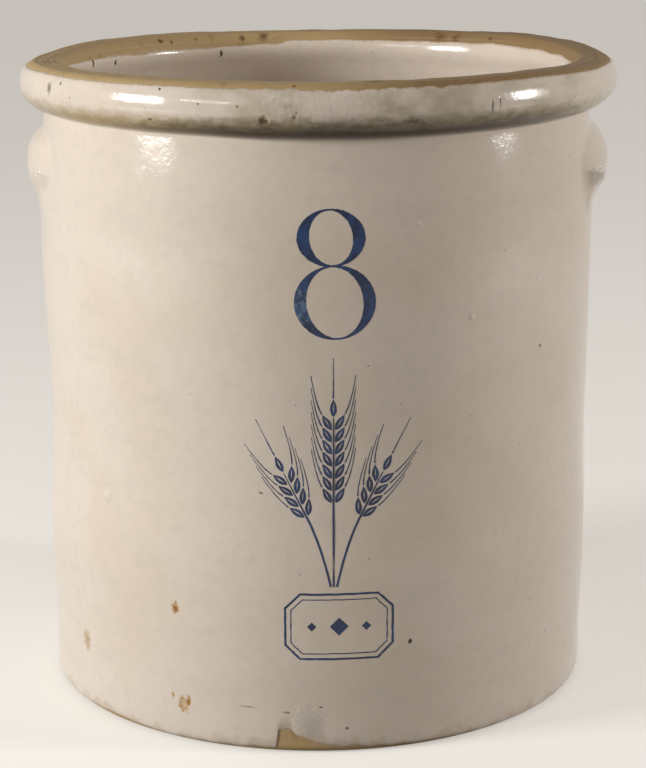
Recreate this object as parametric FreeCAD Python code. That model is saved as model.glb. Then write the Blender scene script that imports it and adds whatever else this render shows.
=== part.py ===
import FreeCAD, Part

# White-glazed stoneware crock of about 30 litres, with a rolled rim and two luted ears.
# Sizes are millimetres. The origin is on the floor at the foot's centre, +Z is up, the marks
# face -Y and the ears are at -X (left) and +X (right).
import math
import os

Vector = FreeCAD.Vector

# Fired clay body
height = 394.0
wall_radius = 171.8  # outside of the clay wall at its shoulder
wall_thickness = 11.9
floor_thickness = 12.0
floor_fillet = 14.0  # inside, between floor and wall
foot_inset = 2.8  # the foot lies this far inside the shoulder
foot_corner_width = 7.3
foot_corner_height = 5.5
belly_inset = 0.7
belly_height = 105.0
waist_inset = 2.4
waist_height = 160.0
neck_inset = 4.5
shoulder_drop = 51.0  # from the crease under the rim down to the shoulder
wall_bands = 16  # the wall's outside is this many faces, so that a mesh of it stays close to it

# Rolled rim
rim_overhang = 10.8  # beyond the shoulder
rim_crown_width = 8.1  # from the flat lip out to the widest point
rim_crown_height = 14.7  # from the widest point up to the lip
rim_tuck_height = 15.8  # from the widest point down to the crease
lip_width = 11.5  # flat top of the rim
mouth_round_width = 7.1  # the inner edge of the lip rounds over to a bead
mouth_round_height = 13.0
bead_fade = 15.0  # below the bead, the bore widens again over this height
bead_ease = 6.0  # height over which that curve leaves the upright at either end

# Glaze coats and the bare clay that they leave
glaze_thickness = 0.9
lip_bare_outside = 3.0  # bare clay down the outside of the lip
lip_bare_inside = 6.0
foot_bare = 2.0  # bare clay above the floor

# Ears, pressed in a mould and luted on
ear_gap = 12.0  # from the crease under the rim down to the ear's top
ear_brow_height = 20.5  # from the ear's top down to its proudest level
ear_tail_height = 36.0  # from there down to the ends of the legs
ear_half_width = 62.0  # along the wall
ear_proud = 10.0
ear_squareness = 4.0  # exponent of the cross-section
ear_spare = 3.0  # the ear's blank runs this far past its edges, inside the wall
cove_radius = 32.0  # a cove under the brow gives the fingers room
cove_half_width = 74.0  # along the wall
cove_drop = 32.0  # from the ear's proudest level down to the cove's middle
cove_sink = 0.5  # the cove's middle reaches this far past the wall's face, and leaves it bare
luting_thickness = 1.0

# Cobalt marks on the outside glaze
film_thickness = 0.3  # the cobalt stands this far proud
marks_offset = 9.5  # to the right of the crock's middle line
marks_gap = 38.7  # from the crease under the rim down to the numeral
numeral_upper_width = 38.3
numeral_upper_height = 32.6
numeral_lower_width = 45.8
numeral_lower_height = 42.6
numeral_stroke = 7.0
numeral_hairline = 1.3
numeral_lean = 2.2  # degrees
wheat_gap = 11.5  # from the numeral down to the wheat
stalk_width = 1.3
stalk_height = 50.0  # of the middle stalk, from its foot to its lowest grains
side_stalk_height = 42.0
side_stalk_reach = 14.0  # sideways at its lowest grains
side_stalk_lean = 27.0  # degrees from upright, above there
grain_length = 10.5
grain_width = 4.0
grain_spacing = 7.2
grain_splay = 30.0  # degrees from the stalk
grain_pairs = 7
side_grain_pairs = 4
awn_length = 24.0
awn_width = 0.8
awn_splay = 15.0  # degrees from the stalk
mark_break = 0.5  # bare glaze between strokes that nearly meet
panel_gap = 4.0  # from the wheat down to the bordered panel
panel_shift = 3.0  # the panel was set down further to the right
panel_width = 64.0
panel_height = 41.0
panel_clip = 9.0  # clipped corners
panel_border = 1.3
panel_margin = 3.6
lozenge_size = 11.0
lozenge_spacing = 16.0

# Levels and radii that follow from the sizes
foot_radius = wall_radius - foot_inset
neck_radius = wall_radius - neck_inset
rim_radius = wall_radius + rim_overhang
inner_radius = wall_radius - wall_thickness
rim_level = height - rim_crown_height
crease_level = rim_level - rim_tuck_height
lip_outer_radius = rim_radius - rim_crown_width
lip_inner_radius = lip_outer_radius - lip_width
bead_radius = lip_inner_radius - mouth_round_width
bead_level = height - mouth_round_height
ear_level = crease_level - ear_gap - ear_brow_height
numeral_height = numeral_upper_height + numeral_lower_height - numeral_hairline
numeral_top = crease_level - marks_gap
wheat_height = stalk_height + grain_spacing * grain_pairs + grain_length + awn_length
wheat_foot = numeral_top - numeral_height - wheat_gap - wheat_height
panel_level = wheat_foot - panel_gap - panel_height / 2


def point(radius, level):
    """A point of the crock's half section."""
    return Vector(radius, 0, level)


def line(start, end):
    """A straight edge."""
    return Part.LineSegment(start, end).toShape()


def ellipse(centre, half_width, half_height):
    """An ellipse in the XZ plane, and the angle in degrees from +X at which its parameter is zero."""
    right, top = centre + Vector(half_width, 0, 0), centre + Vector(0, 0, half_height)
    left = centre - Vector(half_width, 0, 0)
    if math.isclose(half_width, half_height):
        return Part.Circle(right, top, left), 0.0
    if half_width > half_height:
        return Part.Ellipse(right, top, centre), 0.0
    return Part.Ellipse(top, left, centre), 90.0


def ellipse_arc(centre, half_width, half_height, start, end):
    """An edge along such an ellipse between two angles in degrees, the smaller one first."""
    curve, zero = ellipse(centre, half_width, half_height)
    return curve.toShape(math.radians(start - zero), math.radians(end - zero))


def angle_at(level, centre_level, half_height):
    """The angle in degrees at which such an ellipse is at a level."""
    return math.degrees(math.asin((level - centre_level) / half_height))


def wall_curve(grow):
    """The outside of the wall, from the foot's corner to the crease, grown outwards."""
    tuck = rim_radius - neck_radius + grow
    crease = rim_level - (rim_tuck_height + grow) * math.sqrt(1 - (grow / tuck) ** 2)
    stations = [
        point(foot_radius + grow, foot_corner_height),
        point(wall_radius - belly_inset + grow, belly_height),
        point(wall_radius - waist_inset + grow, waist_height),
        point(wall_radius + grow, crease_level - shoulder_drop),
        point(neck_radius + grow, crease),
    ]
    curve = Part.BSplineCurve()
    curve.interpolate(stations)
    return curve


def wall_edges(grow):
    """The same curve as one edge for each band of the wall."""
    curve = wall_curve(grow)
    low, high = curve.FirstParameter, curve.LastParameter
    cuts = [low + (high - low) * band / wall_bands for band in range(wall_bands + 1)]
    return [curve.toShape(start, end) for start, end in zip(cuts, cuts[1:])]


def wall_radius_at(level):
    """The clay wall's outside radius at a level."""
    curve = wall_curve(0)
    low, high = curve.FirstParameter, curve.LastParameter
    halvings = 40
    for _ in range(halvings):
        middle = (low + high) / 2
        if curve.value(middle).z < level:
            low = middle
        else:
            high = middle
    return curve.value(low).x


def outer_path(grow, low, high):
    """The outside from a level on the foot's corner to one on the rim's crown, grown outwards.

    Returns its edges and its two end points."""
    corner = point(foot_radius - foot_corner_width, foot_corner_height)
    corner_width, corner_height = foot_corner_width + grow, foot_corner_height + grow
    crown = point(lip_outer_radius, rim_level)
    crown_width, crown_height = rim_crown_width + grow, rim_crown_height + grow
    tuck_centre = point(neck_radius, rim_level)
    tuck_width, tuck_height = rim_radius - neck_radius + grow, rim_tuck_height + grow
    start = angle_at(low, corner.z, corner_height)
    end = angle_at(high, crown.z, crown_height)
    crease = -math.degrees(math.acos(grow / tuck_width))
    edges = [
        ellipse_arc(corner, corner_width, corner_height, start, 0),
        *wall_edges(grow),
        ellipse_arc(tuck_centre, tuck_width, tuck_height, crease, 0),
        ellipse_arc(crown, crown_width, crown_height, 0, end),
    ]
    first = point(corner.x + corner_width * math.cos(math.radians(start)), low)
    last = point(crown.x + crown_width * math.cos(math.radians(end)), high)
    return edges, first, last


def inner_path(shrink, high):
    """The inside from the middle of the floor to a level on the mouth's round, shrunk inwards.

    Returns its edges and its two end points."""
    floor = floor_thickness + shrink
    bore = inner_radius - shrink
    fillet = floor_fillet - shrink
    centre = point(bore - fillet, floor + fillet)
    round_centre = point(lip_inner_radius, bead_level)
    round_width, round_height = mouth_round_width + shrink, mouth_round_height + shrink
    end = 180 - angle_at(high, bead_level, round_height)
    fade = Part.BezierCurve()
    narrow = bead_radius - shrink
    fade_low = bead_level - bead_fade
    fade.setPoles([
        point(narrow, bead_level),
        point(narrow, bead_level - bead_ease),
        point(bore, fade_low + bead_ease),
        point(bore, fade_low),
    ])
    first = point(0, floor)
    edges = [
        line(first, point(centre.x, floor)),
        ellipse_arc(centre, fillet, fillet, -90, 0),
        line(point(bore, centre.z), point(bore, fade_low)),
        fade.toShape(),
        ellipse_arc(round_centre, round_width, round_height, end, 180),
    ]
    last = point(lip_inner_radius + round_width * math.cos(math.radians(end)), high)
    return edges, first, last


def turned(edges, degrees=360, middle=180):
    """The solid that a closed outline sweeps about Z, centred on a direction in degrees from +X."""
    face = Part.Face(Part.Wire(Part.__sortEdges__(edges)))
    solid = face.revolve(Vector(0, 0, 0), Vector(0, 0, 1), degrees)
    solid.rotate(Vector(0, 0, 0), Vector(0, 0, 1), middle - degrees / 2)
    return solid


def core():
    """All that lies inside the clay's outside, without the hollow."""
    edges, foot, lip = outer_path(0, 0, height)
    top, bottom = point(0, height), point(0, 0)
    return turned(edges + [line(lip, top), line(top, bottom), line(bottom, foot)])


def clay_body():
    """The turned body: floor, wall and rolled rim in one piece of clay."""
    outside, foot, shoulder = outer_path(0, 0, height)
    inside, floor, mouth = inner_path(0, height)
    bottom = point(0, 0)
    joins = [line(shoulder, mouth), line(floor, bottom), line(bottom, foot)]
    return turned(outside + inside + joins)


def coat_outline(thickness):
    """The half section of a layer over the clay's outside, up from the bare foot to the bare lip."""
    high = height - lip_bare_outside
    under, under_low, under_high = outer_path(0, foot_bare, high)
    over, over_low, over_high = outer_path(thickness, foot_bare, high)
    ends = [line(under_low, over_low), line(under_high, over_high)]
    return under + over + ends


def inside_coat():
    """The glaze on the floor, up the bore and over the bead."""
    high = height - lip_bare_inside
    under, under_middle, under_high = inner_path(0, high)
    over, over_middle, over_high = inner_path(glaze_thickness, high)
    ends = [line(under_middle, over_middle), line(under_high, over_high)]
    return turned(under + over + ends)


def ear_rise(level):
    """How far the ear stands out at its middle, as a share of its greatest, at a level."""
    reach = ear_brow_height if level > ear_level else ear_tail_height
    return math.cos(math.pi / 2 * (level - ear_level) / reach)


def ear_section(level, grow):
    """The ear's cross-section at a level, from deep in the wall to its face."""
    base = wall_radius_at(level)
    half = ear_half_width + ear_spare
    rows = 8
    face = []
    for row in range(rows + 1):
        along = half * (2 * row / rows - 1)
        proud = ear_proud * (ear_rise(level) - abs(along / ear_half_width) ** ear_squareness) + grow
        turn = along / base
        face.append(Vector((base + proud) * math.cos(turn), (base + proud) * math.sin(turn), level))
    curve = Part.BSplineCurve()
    curve.interpolate(face)
    back = inner_radius * math.cos(half / base)
    corners = [Vector(back, face[-1].y, level), Vector(back, face[0].y, level)]
    sides = [line(face[-1], corners[0]), line(corners[0], corners[1]), line(corners[1], face[0])]
    return Part.Wire([curve.toShape()] + sides)


def ear_blank(grow):
    """The right ear run on into the wall, with its cove scooped out from below."""
    high = ear_level + ear_brow_height + ear_spare
    low = ear_level - ear_tail_height - ear_spare
    steps = 7
    sections = [ear_section(low + (high - low) * step / steps, grow) for step in range(steps + 1)]
    blank = Part.makeLoft(sections, True)
    cove_level = ear_level - cove_drop
    radius = cove_radius - grow
    stretch = FreeCAD.Matrix()
    stretch.scale(1, (cove_half_width - grow) / radius, 1)
    cove = Part.makeSphere(radius).transformGeometry(stretch)
    cove.translate(Vector(wall_radius_at(cove_level) + cove_radius - cove_sink, 0, cove_level))
    return blank.cut(cove)


def opposite(shape):
    """The same shape on the other side of the crock."""
    other = shape.copy()
    other.rotate(Vector(0, 0, 0), Vector(0, 0, 1), 180)
    return other


def outline(corners):
    """A closed outline through corners given as x and z, as a face in the XZ plane."""
    points = [Vector(x, 0, z) for x, z in corners]
    return Part.Face(Part.makePolygon(points + points[:1]))


def disc(x, z, half_width, half_height):
    """A flat ellipse in the XZ plane."""
    curve, _ = ellipse(Vector(x, 0, z), half_width, half_height)
    return Part.Face(Part.Wire(curve.toShape()))


def aim(degrees):
    """A direction in the XZ plane, in degrees from upright towards +X."""
    return Vector(math.sin(math.radians(degrees)), 0, math.cos(math.radians(degrees)))


def right_of(degrees):
    """The direction square to such an aim, on its right."""
    return aim(degrees + 90)


def stroke(start, end, start_width, end_width):
    """A straight pen stroke between two points, as a flat face."""
    along = (end - start).normalize()
    side = Vector(-along.z, 0, along.x)
    near, far = side * start_width / 2, side * end_width / 2
    corners = [start + near, end + far, end - far, start - near]
    return outline([(corner.x, corner.z) for corner in corners])


def bent_stalk(foot, joint, lean, head):
    """One long pen stroke that bends up to its joint, then runs straight to its head and tapers.

    From the joint on it leans by degrees from upright."""
    chord = joint - foot
    heading = math.degrees(math.atan2(chord.x, chord.z))
    bend = lean - heading
    radius = chord.Length / 2 / math.sin(math.radians(bend))
    centre = joint + right_of(lean) * radius
    sides = []
    for hand in (-1, 1):
        reach = radius - hand * stalk_width / 2
        side = [centre - right_of(angle) * reach for angle in (heading - bend, heading, lean)]
        sides.append(side + [head + right_of(lean) * hand * stalk_width / 4])
    edges = [Part.Arc(*side[:3]).toShape() for side in sides]
    edges += [line(*side[2:]) for side in sides]
    edges += [line(sides[0][end], sides[1][end]) for end in (0, -1)]
    return Part.Face(Part.Wire(Part.__sortEdges__(edges)))


def wall_film():
    """The thin layer on the front of the glazed wall in which the marks lie."""
    under = wall_edges(glaze_thickness)
    over = wall_edges(glaze_thickness + film_thickness)
    ends = [line(under[0].firstVertex().Point, over[0].firstVertex().Point),
            line(under[-1].lastVertex().Point, over[-1].lastVertex().Point)]
    return turned(under + over + ends, 90, -90)


def printed(faces, shift=0.0):
    """Flat marks that don't touch, drawn as seen from the front, laid on the wall as a thin film."""
    blocks = [face.extrude(Vector(0, -2 * wall_radius, 0)) for face in faces]
    drawn = Part.Compound(blocks)
    drawn.translate(Vector(marks_offset + shift, 0, 0))
    return wall_film().common(drawn)


def numeral_eight():
    """The capacity numeral: two bowls with thick sides and hairline tops and bottoms."""
    upper = numeral_top - numeral_upper_height / 2
    lower = numeral_top - numeral_height + numeral_lower_height / 2
    bowls = []
    counters = []
    for level, width, tall in (
        (upper, numeral_upper_width, numeral_upper_height),
        (lower, numeral_lower_width, numeral_lower_height),
    ):
        bowls.append(disc(0, level, width / 2, tall / 2))
        counters.append(disc(0, level, width / 2 - numeral_stroke, tall / 2 - numeral_hairline))
    figure = bowls[0].fuse(bowls[1]).removeSplitter().cut(Part.Compound(counters))
    figure.rotate(Vector(0, 0, numeral_top - numeral_height / 2), Vector(0, 1, 0), -numeral_lean)
    return printed(figure.Faces)


def grain(base, direction):
    """A pointed grain that leaves its base at degrees from upright. Returns its face and its tip."""
    side = right_of(direction) * grain_width / 2
    tip = base + aim(direction) * grain_length
    middle = (base + tip) / 2
    arcs = [Part.Arc(base, middle + side, tip).toShape(), Part.Arc(tip, middle - side, base).toShape()]
    return Part.Face(Part.Wire(arcs)), tip


def bearded_grain(base, lean, splay, awn_lean):
    """A grain and the awn beyond it, by their angles from a stalk that leans."""
    kernel, tip = grain(base, lean + splay)
    start = tip + aim(lean + awn_lean) * mark_break
    end = start + aim(lean + awn_lean) * (awn_length - mark_break)
    return [kernel, stroke(start, end, awn_width, awn_width / 2)]


def wheat_grains(joint, lean, pairs):
    """Pairs of bearded grains up the leaning top of a stalk, with one at its head."""
    faces = []
    for pair in range(pairs):
        seat = joint + aim(lean) * grain_spacing * pair
        for hand in (-1, 1):
            base = seat + right_of(lean) * hand * (stalk_width / 2 + mark_break)
            faces += bearded_grain(base, lean, hand * grain_splay, hand * awn_splay)
    head = joint + aim(lean) * grain_spacing * pairs
    return faces + bearded_grain(head + aim(lean) * mark_break, lean, 0, 0)


def wheat_spray():
    """Three bearded ears of wheat on stalks that fan out from one foot."""
    foot = Vector(0, 0, wheat_foot)
    joint = foot + aim(0) * stalk_height
    head = joint + aim(0) * grain_spacing * grain_pairs
    faces = [stroke(foot, head, stalk_width, stalk_width / 2)] + wheat_grains(joint, 0, grain_pairs)
    for hand in (-1, 1):
        start = foot + Vector(hand * (stalk_width + mark_break), 0, 0)
        joint = start + Vector(hand * side_stalk_reach, 0, side_stalk_height)
        lean = hand * side_stalk_lean
        head = joint + aim(lean) * grain_spacing * side_grain_pairs
        faces.append(bent_stalk(start, joint, lean, head))
        faces += wheat_grains(joint, lean, side_grain_pairs)
    return printed(faces)


def clipped(width, tall, clip):
    """A rectangle with clipped corners about the panel's middle."""
    x, z = width / 2, tall / 2
    right = [(x, z - clip), (x - clip, z)]
    corners = right + [(-a, b) for a, b in reversed(right)]
    corners += [(-a, -b) for a, b in corners]
    return outline([(a, panel_level + b) for a, b in corners])


def border_line(inset, thick):
    """A line of even width at an inset from the panel's edge."""
    rings = []
    for depth in (inset, inset + thick):
        clip = panel_clip - depth * (2 - math.sqrt(2))
        rings.append(clipped(panel_width - 2 * depth, panel_height - 2 * depth, clip))
    return rings[0].cut(rings[1]).Faces[0]


def lozenge(x, size):
    """An upright square on its corner, on the panel's middle line."""
    half = size / 2
    steps = [(-half, 0), (0, half), (half, 0), (0, -half)]
    return outline([(x + across, panel_level + up) for across, up in steps])


def bordered_panel():
    """A double-bordered panel that holds three plain lozenges."""
    faces = [border_line(0, panel_border), border_line(panel_margin, panel_border / 2)]
    faces.append(lozenge(0, lozenge_size))
    faces += [lozenge(hand * lozenge_spacing, lozenge_size / 2) for hand in (-1, 1)]
    return printed(faces, panel_shift)


def outside_glaze(blank, over_ear):
    """One coat over wall and ears, made in quarter turns: front, back and one for each ear."""
    section = coat_outline(glaze_thickness)
    front = turned(section, 90, -90)
    side = turned(section, 90, 0).fuse(over_ear).cut(blank)
    return front.fuse([side, opposite(front), opposite(side)])


def build():
    """Every piece of the crock by name."""
    clay = core()
    blank = ear_blank(0)
    slip_zone = turned(coat_outline(luting_thickness), 90, 0)
    luting = blank.common(slip_zone)
    ear = blank.cut(clay).cut(slip_zone)
    over_ear = ear_blank(glaze_thickness).cut(clay)
    return {
        "body": clay_body(),
        "ear_right": ear,
        "ear_left": opposite(ear),
        "luting_right": luting,
        "luting_left": opposite(luting),
        "glaze_outside": outside_glaze(blank, over_ear),
        "glaze_inside": inside_coat(),
        "numeral_eight": numeral_eight(),
        "wheat_spray": wheat_spray(),
        "bordered_panel": bordered_panel(),
    }


os.makedirs("parts", exist_ok=True)
for name, shape in build().items():
    shape.exportStep(os.path.join("parts", name + ".step"))
    print(name, len(shape.Solids), "solid(s)", round(shape.Volume), "mm3", shape.isValid())
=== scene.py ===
"""White-glazed stoneware crock with a rolled rim, two luted ears and cobalt marks.

Lengths are millimetres until a piece's mesh is made, which is in metres. The crock stands on z = 0,
its marks face -Y and its ears are at -X (left) and +X (right). A bearing is an angle in degrees
round the crock, 0 at the front and growing to the right, so the right ear is at 90.
"""
import logging
import math
from dataclasses import dataclass, field
from enum import Enum
from typing import Optional, Sequence, Union

import bpy
import numpy as np
from mathutils import Matrix, Vector
from mathutils.geometry import delaunay_2d_cdt


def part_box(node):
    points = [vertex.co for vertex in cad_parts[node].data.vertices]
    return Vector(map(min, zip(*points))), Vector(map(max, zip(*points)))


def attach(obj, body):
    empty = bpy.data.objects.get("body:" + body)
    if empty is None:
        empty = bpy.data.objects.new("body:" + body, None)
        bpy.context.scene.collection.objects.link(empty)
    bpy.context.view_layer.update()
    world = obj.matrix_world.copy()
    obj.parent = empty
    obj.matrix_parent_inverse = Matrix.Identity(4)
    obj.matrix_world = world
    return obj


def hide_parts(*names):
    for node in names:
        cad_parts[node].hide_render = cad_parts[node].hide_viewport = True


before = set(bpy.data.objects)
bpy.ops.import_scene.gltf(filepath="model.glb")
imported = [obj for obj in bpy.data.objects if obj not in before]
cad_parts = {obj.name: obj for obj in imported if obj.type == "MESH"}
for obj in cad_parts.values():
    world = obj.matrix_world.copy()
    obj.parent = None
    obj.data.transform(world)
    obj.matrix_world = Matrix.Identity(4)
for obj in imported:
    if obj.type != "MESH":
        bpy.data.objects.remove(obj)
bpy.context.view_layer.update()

MM = 0.001
BODY = "root"
log = logging.getLogger("crock")

Socket = bpy.types.NodeSocket
Value = Union[float, Sequence[float], Socket]
Inputs = dict[Union[str, int], Value]


def linear(colour: str) -> tuple[float, float, float, float]:
    """Turns an sRGB hex colour to the linear colour that shaders take.

    Args:
        colour: Six hex digits after a hash sign.

    Returns:
        Red, green, blue and an alpha of 1.
    """
    channels = [int(colour[start:start + 2], 16) / 255 for start in (1, 3, 5)]
    red, green, blue = (c / 12.92 if c <= 0.04045 else ((c + 0.055) / 1.055) ** 2.4 for c in channels)
    return red, green, blue, 1.0


def add_node(
    tree: bpy.types.NodeTree, kind: str, inputs: Optional[Inputs] = None, **settings: str,
) -> bpy.types.Node:
    """Adds a node with its settings, and sets or links its inputs.

    Args:
        tree: The node tree of a material or of the world.
        kind: The type name of the node.
        inputs: A number, colour or vector to set, or a socket to link, for each input.
        settings: Values for the node's own properties.

    Returns:
        The new node.
    """
    node = tree.nodes.new(kind)
    for name, setting in settings.items():
        setattr(node, name, setting)
    for name, value in (inputs or {}).items():
        if isinstance(value, Socket):
            tree.links.new(value, node.inputs[name])
        else:
            node.inputs[name].default_value = value
    return node


def smooth_step(low: float, high: float, value: np.ndarray) -> np.ndarray:
    """Rises smoothly from 0 at low to 1 at high."""
    share = np.clip((value - low) / (high - low), 0.0, 1.0)
    return share * share * (3.0 - 2.0 * share)


def soft_max(first: np.ndarray, second: np.ndarray, blend: float) -> np.ndarray:
    """The larger of two heights, with the corner between them rounded over a blend in mm."""
    return (first + second + np.sqrt((first - second) ** 2 + blend ** 2)) / 2


def soft_min(first: np.ndarray, second: np.ndarray, blend: float) -> np.ndarray:
    """The smaller of two heights, with the corner between them rounded over a blend in mm."""
    return -soft_max(-first, -second, blend)


@dataclass(frozen=True)
class Band:
    """A stretch where stations stand closer together."""

    centre: float
    half_width: float
    spacing: float


def graded(low: float, high: float, spacing: float, bands: Sequence[Band]) -> np.ndarray:
    """Spreads stations between two values, closer together within bands.

    Args:
        low: The first station.
        high: The last station.
        spacing: The usual step.
        bands: Where the step is finer. It widens again over a band's own half width.

    Returns:
        The stations in order.
    """
    samples = 6001
    place = np.linspace(low, high, samples)
    step = np.full(samples, spacing)
    for band in bands:
        away = smooth_step(band.half_width, 2 * band.half_width, np.abs(place - band.centre))
        step = np.minimum(step, band.spacing + (spacing - band.spacing) * away)
    count = np.concatenate([[0.0], np.cumsum(np.diff(place) * (1 / step[1:] + 1 / step[:-1]) / 2)])
    return np.interp(np.linspace(0, count[-1], max(2, round(count[-1])) + 1), count, place)


@dataclass(frozen=True)
class Waves:
    """Smooth, seamless unevenness round the crock, as a sum of slow waves."""

    seed: int
    depth: float
    most_turns: int
    shortest_rise: float
    count: int = 14

    def at(self, bearing: np.ndarray, level: np.ndarray) -> np.ndarray:
        """The unevenness at bearings and levels.

        Args:
            bearing: Bearings in degrees.
            level: Levels, which broadcast with the bearings.

        Returns:
            Heights in mm.
        """
        draw = np.random.default_rng(self.seed)
        total = np.zeros(np.broadcast(bearing, level).shape)
        for _ in range(self.count):
            turns = draw.integers(0, self.most_turns + 1)
            rise = self.shortest_rise * (1 + 3 * draw.random()) * draw.choice((-1, 1))
            phase = 2 * math.pi * draw.random()
            total += np.sin(turns * np.radians(bearing) + 2 * math.pi * level / rise + phase)
        return self.depth * total * math.sqrt(2 / self.count)

    def round(self, bearing: np.ndarray) -> np.ndarray:
        """The unevenness in mm once round the crock, at bearings in degrees."""
        return self.at(bearing, np.zeros(1))


Controls = tuple[tuple[float, float], ...]


def eased(value: np.ndarray, controls: Controls, period: Optional[float] = None) -> np.ndarray:
    """Passes smoothly through a few set values.

    Args:
        value: Where the curve is wanted.
        controls: Places in rising order, each with its value.
        period: The length after which the curve starts again, if it does.

    Returns:
        The curve's values.
    """
    places, heights = np.array(controls).T
    if period:
        places = np.concatenate([[places[-1] - period], places, [places[0] + period]])
        heights = np.concatenate([[heights[-1]], heights, [heights[0]]])
    spot = np.clip(np.searchsorted(places, value) - 1, 0, len(places) - 2)
    share = smooth_step(0.0, 1.0, (value - places[spot]) / (places[spot + 1] - places[spot]))
    return heights[spot] + (heights[spot + 1] - heights[spot]) * share


@dataclass(frozen=True)
class Warp:
    """How the crock sagged while it dried and fired, in mm.

    The lip and the crease rise or sink by bearing. The wall bows in or out by level at both sides.
    """

    lip: Controls = (
        (-165.0, -1.9), (-145.0, -0.9), (-125.0, -1.3), (-98.0, -3.4), (-60.0, -1.1), (-42.0, -0.4),
        (-22.0, 0.0), (0.0, 0.0), (20.0, 0.2), (42.0, 0.6), (68.0, -0.4), (92.0, -1.2), (112.0, 0.8),
        (128.0, 1.4), (150.0, -0.3), (180.0, -1.6),
    )
    crease: Controls = (
        (-120.0, 0.4), (-90.0, 0.6), (-60.0, 1.0), (-25.0, 1.0), (-8.0, 0.0), (8.0, 0.0), (40.0, 0.7),
        (62.0, 1.0), (90.0, 2.5), (120.0, 1.5), (180.0, 0.4),
    )
    left: Controls = (
        (10.0, 0.0), (30.0, -0.9), (54.0, -1.3), (75.0, -0.9), (100.0, -0.2), (150.0, -0.4), (190.0, -0.9),
        (240.0, -0.8), (290.0, -0.6), (340.0, 0.0),
    )
    right: Controls = (
        (10.0, 0.2), (35.0, -0.7), (60.0, -0.6), (100.0, -0.1), (160.0, 0.4), (200.0, 0.4), (225.0, -0.2),
        (262.0, -1.4), (300.0, -1.4), (345.0, 0.3),
    )
    rim_shift: float = 1.55
    rim_swell: float = 0.74


@dataclass(frozen=True)
class Path:
    """A run of closely spaced points of the half section, with the outward normal at each."""

    radius: np.ndarray
    level: np.ndarray

    @property
    def along(self) -> np.ndarray:
        """The distance along the path at each point."""
        steps = np.hypot(np.diff(self.radius), np.diff(self.level))
        return np.concatenate([[0.0], np.cumsum(steps)])

    def at(self, along: np.ndarray) -> tuple[np.ndarray, np.ndarray, np.ndarray, np.ndarray]:
        """Reads the path at distances along it.

        Args:
            along: The distances in mm.

        Returns:
            Radius, level, and the outward normal's parts outwards and up.
        """
        distance = self.along
        across, up = np.gradient(self.radius, distance), np.gradient(self.level, distance)
        size = np.hypot(across, up)
        parts = (self.radius, self.level, up / size, -across / size)
        return tuple(np.interp(along, distance, part) for part in parts)

    def along_at(self, level: float) -> float:
        """The distance along the path at which it first reaches a level."""
        return float(self.along[int(np.argmax(self.level >= level))])

    def smoothed(self, reach: float) -> "Path":
        """Rounds the path's corners.

        Args:
            reach: How far a corner's rounding reaches, in mm.

        Returns:
            The softened path, with as many points.
        """
        step = float(self.along[-1]) / (len(self.radius) - 1)
        half = max(1, round(3 * reach / step))
        window = np.exp(-0.5 * (np.arange(-half, half + 1) * step / reach) ** 2)
        window /= window.sum()
        parts = []
        for part in (self.radius, self.level):
            before = 2 * part[0] - part[half:0:-1]
            after = 2 * part[-1] - part[-2:-half - 2:-1]
            parts.append(np.convolve(np.concatenate([before, part, after]), window, "valid"))
        return Path(*parts)


def even_path(pieces: Sequence[np.ndarray]) -> Path:
    """Joins stretches of points into one path with points a quarter of a millimetre apart.

    Args:
        pieces: Arrays of radius and level, each starting where the one before ends.

    Returns:
        The joined path.
    """
    rough = np.concatenate(pieces)
    rough = rough[np.concatenate([[True], np.hypot(*np.diff(rough, axis=0).T) > 1e-9])]
    path = Path(rough[:, 0], rough[:, 1])
    spacing = 0.25
    places = np.linspace(0, path.along[-1], round(path.along[-1] / spacing) + 1)
    return Path(np.interp(places, path.along, path.radius), np.interp(places, path.along, path.level))


def ellipse_arc(
    centre: tuple[float, float], width: float, height: float, start: float, end: float,
) -> np.ndarray:
    """Points of an ellipse's arc between two angles in degrees, 0 pointing outwards and 90 up."""
    angle = np.radians(np.linspace(start, end, 120))
    return np.stack([centre[0] + width * np.cos(angle), centre[1] + height * np.sin(angle)], axis=1)


def natural_curve(levels: np.ndarray, radii: np.ndarray, places: np.ndarray) -> np.ndarray:
    """A smooth curve through a few stations, straight at both ends.

    Args:
        levels: The stations' levels, rising.
        radii: The stations' radii.
        places: The levels at which the curve is wanted.

    Returns:
        The radii at those levels.
    """
    gap = np.diff(levels)
    size = len(levels)
    matrix, target = np.eye(size), np.zeros(size)
    for row in range(1, size - 1):
        matrix[row, row - 1:row + 2] = gap[row - 1], 2 * (gap[row - 1] + gap[row]), gap[row]
        slopes = np.diff(radii)[row - 1:row + 1] / gap[row - 1:row + 1]
        target[row] = 6 * (slopes[1] - slopes[0])
    bend = np.linalg.solve(matrix, target)
    spot = np.clip(np.searchsorted(levels, places) - 1, 0, size - 2)
    low, high = places - levels[spot], levels[spot + 1] - places
    width = gap[spot]
    return (
        (bend[spot] * high ** 3 + bend[spot + 1] * low ** 3) / (6 * width)
        + (radii[spot] / width - bend[spot] * width / 6) * high
        + (radii[spot + 1] / width - bend[spot + 1] * width / 6) * low
    )


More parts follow.
